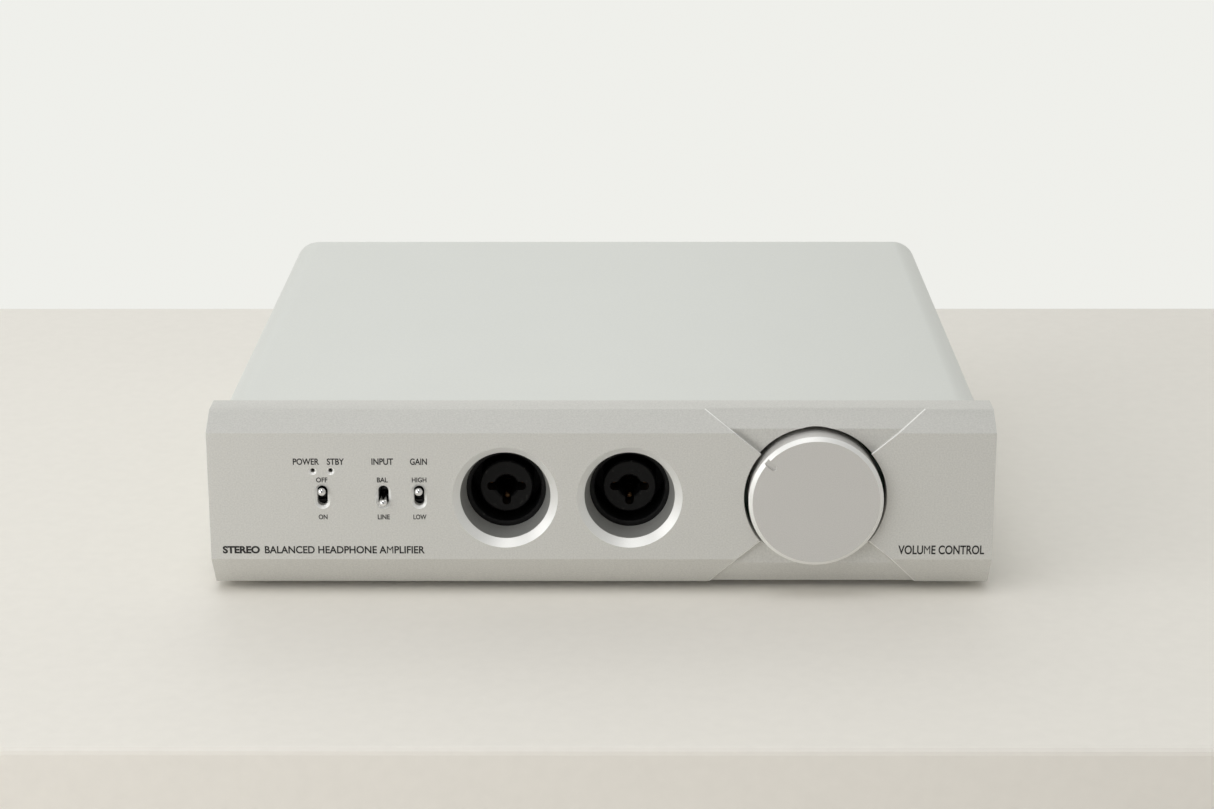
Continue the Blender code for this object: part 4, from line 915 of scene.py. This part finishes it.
def makeFeet():
    size = footSizes
    nodes = [f"foot_{row}_{side}" for row in ("front", "rear") for side in socketSides]
    low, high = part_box(nodes[0])
    height = high.z - low.z
    dish, deep, wide = size["dish"], size["dishDepth"], size["wide"]
    profile = soften(((0, deep), (dish, deep), (dish + size["dishSlope"], 0), (size["foot"], 0),
                      (wide, size["taper"]), (wide, height), (0, height)), size["edge"])
    places = [((middleOf(node).x, middleOf(node).y, low.z), (0, 0, 1)) for node in nodes]
    foot = solid("foot", lathe("Z", (0, 0), profile, 72))
    scatter("feet", foot, places, "foot_rubber", "footRubber", nodes)


phonoSizes = {"radius": 0.00415, "wall": 0.0007, "nut": 0.0059, "nutHeight": 0.0016, "nutFrom": 0.0003,
              "nutEdge": 0.00018, "nutClear": (-0.0001, 0.0005), "gap": 0.0003, "edge": 0.0003,
              "pinBore": 0.00165, "pinDepth": 0.0090, "turn": 0.5}


def makePhonoSockets():  # the barrels with their nuts, and the insulators in them
    size = phonoSizes
    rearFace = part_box("rear_panel")[1].y
    names = [f"{use}_{side}" for use in ("input", "output") for side in socketSides]
    start, end = (corner.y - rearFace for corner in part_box("phono_shell_" + names[0]))
    radius, bore, edge = size["radius"], size["radius"] - size["wall"], size["edge"]
    barrel = [(bore, start), (radius, start), (radius, end - edge), (radius - edge, end),
              (bore + edge * 0.6, end), (bore, end - edge * 0.6)]
    shell = solid("phonoShell", lathe("Z", (0, 0), barrel, 64))
    nutTop = size["nutFrom"] + size["nutHeight"]
    nut = solid("phonoNut", prism("Z", hexagon(size["nut"]), size["nutFrom"], nutTop))
    bevelEdges(nut, size["nutEdge"], 30)
    add(shell, meshOf(nut))
    below, beyond = size["nutClear"]
    cut(shell, rod("Z", (0, 0), bore, below, nutTop + beyond, 64))
    places = {}
    for name in names:
        x, z = spotOf("phono_shell_" + name)
        places[name] = ((x, rearFace, z), (0, 1, 0))
    scatter("phonoShells", shell, places.values(), "nickel", "nickel",
            ["phono_shell_" + name for name in names], size["turn"], 5)
    start, end = (corner.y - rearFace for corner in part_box("phono_insulator_" + names[0]))
    core, pin, foot = bore - size["gap"], size["pinBore"], end - size["pinDepth"]
    profile = soften(((0, start), (core, start), (core, end), (pin, end), (pin, foot), (0, foot)), edge)
    for side, colour in (("left", "white"), ("right", "red")):
        chosen = [name for name in names if name.endswith(side)]
        scatter(colour + "Insulators", solid("insulator", lathe("Z", (0, 0), profile, 64)),
                [places[name] for name in chosen], colour + "_insulator", colour + "Insulator",
                ["phono_insulator_" + name for name in chosen])


makeScrews()
makeFeet()
makePhonoSockets()
print("screws, feet and phono sockets made")


# balanced sockets, their latches and the power inlet

balancedSizes = {
    "flange": 0.0034, "corner": 0.0030, "radius": 0.0117, "bore": 0.0098, "core": 0.0078, "inset": 0.0020,
    "groove": 0.0150, "chamfer": 0.0004, "pinHole": 0.0012, "pinCircle": 0.0048, "pinDepth": 0.0120,
    "pinEdge": 0.0003, "screwHole": 0.00155, "latchGap": 0.0003, "pocket": 0.0027, "pocketCorner": 0.0009,
    "key": 0.0016, "keyBite": 0.0008, "keyCorner": 0.0002, "keyInset": 0.0010, "edge": 0.0004,
    "contactFrom": 0.0024, "contactFoot": 0.0010, "contactGap": 0.0001, "contactWall": 0.0003,
}


def makeBalancedSocket(side):
    size = balancedSizes
    node = "balanced_socket_" + side
    low, high, centre = frontOf(node)
    front, back = high.y, high.y - size["flange"]
    flange = roundedPlate("balancedFlange", low, high, size["corner"], back, front)
    bevelEdges(flange, size["edge"], 60, 3)
    add(flange, rod("Y", centre, size["radius"], low.y, front - overcut, 96))
    core, bore, chamfer, face = size["core"], size["bore"], size["chamfer"], front - size["inset"]
    bottom = front - size["groove"]
    groove = ((core, bottom), (bore, bottom), (bore, front - chamfer),
              (bore + chamfer + overcut, front + overcut), (core - chamfer, front + overcut),
              (core - chamfer, face), (core, face - chamfer))
    cut(flange, lathe("Y", centre, groove, 96),
        rod("Y", centre, (core + bore) / 2, face, front + 2 * overcut, 96))
    key = roundedBox((centre[0], centre[1] - (core + bore) / 2), size["key"],
                     bore - core + size["keyBite"], size["keyCorner"], 3)
    add(flange, prism("Y", key, bottom - overcut, face - size["keyInset"]))
    pin, edge, deep = size["pinHole"], size["pinEdge"], face - size["pinDepth"]
    hole = ((0, deep), (pin, deep), (pin, face - edge), (pin + edge + overcut, face + overcut),
            (0, face + overcut))
    start, end = deep + size["contactFoot"], face - size["contactFrom"]
    outer = pin - size["contactGap"]
    inner = outer - size["contactWall"]
    contacts = []
    for x, z in arc(centre, size["pinCircle"], -90, -240, 2):
        cut(flange, lathe("Y", (x, z), hole, 32))
        contact = lathe("Y", (x, z), ((inner, start), (outer, start), (outer, end), (inner, end)), 24)
        for polygon in contact.faces:
            polygon.material_index = 1
        contacts.append(contact)
    screws = [rod("Y", spotOf(screw), size["screwHole"], back - overcut, front + overcut, 32)
              for screw in balancedScrews(side)]
    latchLow, latchHigh, middle = frontOf("balanced_latch_" + side)
    gap = 2 * size["latchGap"]
    pocket = roundedBox(middle, latchHigh.x - latchLow.x + gap, latchHigh.z - latchLow.z + gap,
                        size["pocketCorner"], 6)
    cut(flange, *screws, prism("Y", pocket, front - size["pocket"], front + overcut))
    socket = solid("balancedSocket_" + side, joined(meshOf(flange), *contacts))
    finishPiece(socket, chassis, "black_nylon", ("blackNylon", "brass"), node)


latchSizes = {"corner": 0.0008, "edge": 0.00025, "ribs": 3, "ribPitch": 0.0016, "rib": 0.00035,
              "ribFoot": 0.3, "ribDepth": 0.0003, "ribReach": 0.0008}


def makeLatch(side):
    size = latchSizes
    node = "balanced_latch_" + side
    low, high, centre = frontOf(node)
    latch = roundedPlate("latch_" + side, low, high, size["corner"], low.y, high.y)
    bevelEdges(latch, size["edge"], 60, 3)
    top, bottom, reach = high.y + overcut, high.y - size["ribDepth"], size["ribReach"]
    wide, narrow = size["rib"], size["rib"] * size["ribFoot"]
    grooves = []
    for i in range(size["ribs"]):
        x = centre[0] + (i - (size["ribs"] - 1) / 2) * size["ribPitch"]
        outline = ((x - wide, top), (x + wide, top), (x + narrow, bottom), (x - narrow, bottom))
        grooves.append(prism("Z", outline, centre[1] - reach, centre[1] + reach))
    cut(latch, *grooves)
    finishPiece(latch, side + "_latch", "nickel", ["nickel"], node)


inletSizes = {"nose": 0.0042, "bore": 0.0032, "boreDepth": 0.0090, "pin": 0.00105, "pinInset": 0.0010,
              "chamfer": 0.0004, "edge": 0.0003, "gap": 0.0003, "overlap": 0.0030, "pinSkim": 0.0001}


def makeInlet():
    size = inletSizes
    low, high, centre = frontOf("power_inlet")
    back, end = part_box("rear_panel")[0].y - size["gap"], high.y
    nose, bore, pin, edge = size["nose"], size["bore"], size["pin"], size["chamfer"]
    inlet = solid("powerInlet", block((low.x, low.y, low.z), (high.x, back, high.z)))
    bevelEdges(inlet, size["edge"], 60)
    start, bottom, tip = back - size["overlap"], end - size["boreDepth"], end - size["pinInset"]
    barrel = ((0, start), (nose, start), (nose, end - edge), (nose - edge, end), (0, end))
    add(inlet, lathe("Y", centre, barrel, 64))
    well = ((pin, bottom), (bore, bottom), (bore, end - edge), (bore + edge + overcut, end + overcut),
            (0, end + overcut), (0, tip), (pin * 0.6, tip), (pin, tip - edge))
    cut(inlet, lathe("Y", centre, well, 64))

    def isPin(where, normal):
        reach = math.hypot(where.x - centre[0], where.z - centre[1])
        return reach < pin * 1.01 and where.y > bottom + size["pinSkim"]

    paintFaces(inlet, 1, isPin)
    finishPiece(inlet, chassis, "black_nylon", ("blackNylon", "nickel"), "power_inlet")


lampSizes = {"lens": 0.0015, "flangeDepth": 0.0012}


def makeLamp(node, name):
    low, high, centre = frontOf(node)
    lens, flange, seat = lampSizes["lens"], (high.x - low.x) / 2, high.y - lampSizes["flangeDepth"]
    profile = [(0, low.y), *arc((0, low.y + lens), lens, -90, 90, 12)[1:], (lens, seat), (flange, seat),
               (flange, high.y), (0, high.y)]
    finishPiece(solid(name, lathe("Y", centre, profile, 48)), chassis, "lamp_lens", ["smokedLens"], node)


for side in socketSides:
    makeBalancedSocket(side)
    makeLatch(side)
makeInlet()
makeLamp("power_lamp", "powerLamp")
makeLamp("standby_lamp", "standbyLamp")
print("balanced sockets, latches, inlet and lamps made")


# panel lettering, fitted between two places across and two heights

def writtenMesh(text, bold, crossed):  # crossed picks the letter M, whose strokes would cross if thickened
    curve = bpy.data.curves.new("lettering", "FONT")
    curve.body = text
    curve.extrude = letterSizes["extrude"]
    curve.offset = 0.0 if crossed else bold
    for i, letter in enumerate(text):
        curve.body_format[i].material_index = int(letter == "M")
    for _ in range(2):
        curve.materials.append(None)
    obj = bpy.data.objects.new("lettering", curve)
    bpy.context.scene.collection.objects.link(obj)
    bpy.context.view_layer.update()
    data = bpy.data.meshes.new_from_object(obj.evaluated_get(bpy.context.evaluated_depsgraph_get()))
    bpy.data.objects.remove(obj)
    mesh = bmesh.new()
    mesh.from_mesh(data)
    bpy.data.meshes.remove(data)
    others = [face for face in mesh.faces if face.material_index != int(crossed)]
    bmesh.ops.delete(mesh, geom=others, context="FACES")
    return mesh


letterSizes = {"bold": 0.022, "extrude": 0.02, "sunk": 0.00001, "proud": 0.00003}


def fitText(text, x0, x1, low, top, bold=letterSizes["bold"]):
    mesh = joined(writtenMesh(text, bold, False), writtenMesh(text, bold, True))
    xs = [v.co.x for v in mesh.verts]
    ys = [v.co.y for v in mesh.verts]
    left, right, base, cap = min(xs), max(xs), min(ys), max(ys)
    for v in mesh.verts:
        v.co.x = x0 + (v.co.x - left) / (right - left) * (x1 - x0)
        v.co.y = low + (v.co.y - base) / (cap - base) * (top - low)
    return mesh


def letterPlate(name, texts, faceAt, outward, ink):
    mesh = joined(*(fitText(*entry) for entry in texts))
    bmesh.ops.remove_doubles(mesh, verts=mesh.verts, dist=1e-7)
    for v in mesh.verts:
        x, z, depth = v.co
        height = letterSizes["sunk" if depth * outward < 0 else "proud"]
        v.co = Vector((-outward * x, faceAt + outward * height, z))
    bmesh.ops.recalc_face_normals(mesh, faces=mesh.faces)
    finishPiece(solid(name, mesh), chassis, "black_steel", [ink], degrees=20)


rows = {  # low and high edges of each row of words, below the panel's top
    "title": (0.0137, 0.0118), "upper": (0.01885, 0.0174), "lower": (0.0298, 0.02835),
    "foot": (0.0400, 0.03775), "volume": (0.0402, 0.0375),
}
frontWords = (
    ("POWER", -0.0860, -0.0787, "title"), ("STBY", -0.0765, -0.0717, "title"),
    ("INPUT", -0.06405, -0.0580, "title"), ("GAIN", -0.0533, -0.04855, "title"),
    ("OFF", -0.0797, -0.0765, "upper"), ("BAL", -0.06265, -0.0596, "upper"),
    ("HIGH", -0.0529, -0.0488, "upper"), ("ON", -0.0793, -0.0768, "lower"),
    ("LINE", -0.0627, -0.0593, "lower"), ("LOW", -0.0527, -0.0490, "lower"),
    ("STEREO", -0.10665, -0.0962, "foot", 0.045),
    ("BALANCED HEADPHONE AMPLIFIER", -0.0948, -0.0497, "foot"),
    ("VOLUME CONTROL", 0.0836, 0.1078, "volume"),
)
frontTexts = [(word, x0, x1, *(panelHigh.z - drop for drop in rows[row]), *bold)
              for word, x0, x1, row, *bold in frontWords]
rearTexts = (
    ("BALANCED INPUT", 0.0435, 0.0695, 0.0462, 0.0479), ("L", 0.0860, 0.0869, 0.0272, 0.0291),
    ("R", 0.0255, 0.0266, 0.0272, 0.0291), ("L", 0.0182, 0.0191, 0.0402, 0.0421),
    ("R", 0.0182, 0.0193, 0.0202, 0.0221), ("LINE IN", 0.0062, 0.0138, 0.0104, 0.0121),
    ("LINE OUT", -0.0128, -0.0032, 0.0104, 0.0121), ("DC IN", -0.0872, -0.0808, 0.0362, 0.0379),
)
letterPlate("frontLettering", frontTexts, faceY, -1, "blackInk")
letterPlate("rearLettering", rearTexts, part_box("rear_panel")[1].y, 1, "blackInk")
print("lettering made")


# camera and stage

cameraSizes = {"place": (0.0061, -0.8281, 0.2781), "lens": 80.81, "sensor": 36.0,
               "pitch": 17.035, "yaw": -0.349, "roll": -0.098}


def makeCamera():
    size = cameraSizes
    data = bpy.data.cameras.new("camera")
    data.lens = size["lens"]
    data.sensor_width = size["sensor"]
    data.clip_start = 0.01
    camera = bpy.data.objects.new("camera", data)
    bpy.context.scene.collection.objects.link(camera)
    pitch, yaw, roll = (math.radians(size[key]) for key in ("pitch", "yaw", "roll"))
    forward = Vector((math.sin(yaw) * math.cos(pitch), math.cos(yaw) * math.cos(pitch), -math.sin(pitch)))
    right = Vector((math.cos(yaw), -math.sin(yaw), 0))
    up = right.cross(forward)
    turnedRight = right * math.cos(roll) + up * math.sin(roll)
    turnedUp = up * math.cos(roll) - right * math.sin(roll)
    turn = Matrix((turnedRight, turnedUp, -forward)).transposed()
    camera.matrix_world = Matrix.Translation(size["place"]) @ turn.to_4x4()
    bpy.context.scene.camera = camera


stageSizes = {
    "tableHalfWidth": 1.1, "tableHalfDepth": 0.21, "tableThickness": 0.05, "shelfReach": 1.4,
    "wallColour": (0.865, 0.868, 0.83, 1.0), "roomColour": (0.55, 0.55, 0.54, 1.0),
    "ceilingColour": (0.18, 0.18, 0.175, 1.0), "darkColour": (0.10, 0.10, 0.10, 1.0),
    "darkSide": (0.0, -0.956, 0.292), "wallFade": (0.25, 0.75), "darkFade": (0.90, 0.95),
    "ceilingFade": (0.75, 0.95), "ceilingFrom": (-0.05, 0.25), "tableEdge": 0.002,
    "shelfDrop": 0.001, "shelfThickness": 0.019,
    "lights": (
        ("topLight", (-0.15, -0.50, 1.45), 0.8, 3.9),
        ("backLight", (-0.20, 1.20, 0.85), 0.8, 1.6),
        ("frontLight", (-0.90, -1.05, 0.14), 0.6, 4.4),
        ("leftBackLight", (-0.75, 0.35, 1.20), 0.6, 0.5),
        ("leftLight", (-1.20, -0.50, 0.60), 0.8, 3.4),
    ),
}


def makeStage():
    size = stageSizes
    half, deep, thick = size["tableHalfWidth"], size["tableHalfDepth"], size["tableThickness"]
    table = solid("table", block((-half, -deep, -thick), (half, deep, 0)))
    bevelEdges(table, size["tableEdge"], 60, 3)
    table.data.materials.append(finishes["paleTable"])
    shelfTop = -thick - size["shelfDrop"]
    shelf = solid("shelf", block((-half, -size["shelfReach"], shelfTop - size["shelfThickness"]),
                                 (half, deep, shelfTop)))
    shelf.data.materials.append(finishes["paleShelf"])
    world = bpy.data.worlds.new("softWhite")
    world.use_nodes = True
    tree = world.node_tree
    direction = newNode(tree, "ShaderNodeTexCoord").outputs["Generated"]
    heading = newNode(tree, "ShaderNodeSeparateXYZ", {0: direction}).outputs
    ahead = mapRange(tree, heading["Y"], *size["wallFade"])
    shade = mixColours(tree, ahead, size["roomColour"], size["wallColour"])
    toward = newNode(tree, "ShaderNodeVectorMath", {0: direction, 1: size["darkSide"]},
                     operation="DOT_PRODUCT")
    darkened = mapRange(tree, toward.outputs["Value"], *size["darkFade"])
    shade = mixColours(tree, darkened, shade, size["darkColour"])
    above = mapRange(tree, heading["Z"], *size["ceilingFade"])
    rearward = mapRange(tree, heading["Y"], *size["ceilingFrom"])
    shade = mixColours(tree, calculate(tree, "MULTIPLY", above, rearward), shade, size["ceilingColour"])
    tree.links.new(shade, tree.nodes["Background"].inputs["Color"])
    bpy.context.scene.world = world
    for name, spot, width, power in size["lights"]:
        data = bpy.data.lights.new(name, "AREA")
        data.size = width
        data.energy = power
        light = bpy.data.objects.new(name, data)
        light.location = spot
        light.rotation_euler = (-Vector(spot)).to_track_quat("-Z", "Y").to_euler()
        bpy.context.scene.collection.objects.link(light)
    bpy.context.scene.view_settings.view_transform = "Standard"


makeCamera()
makeStage()
print("camera and stage made")
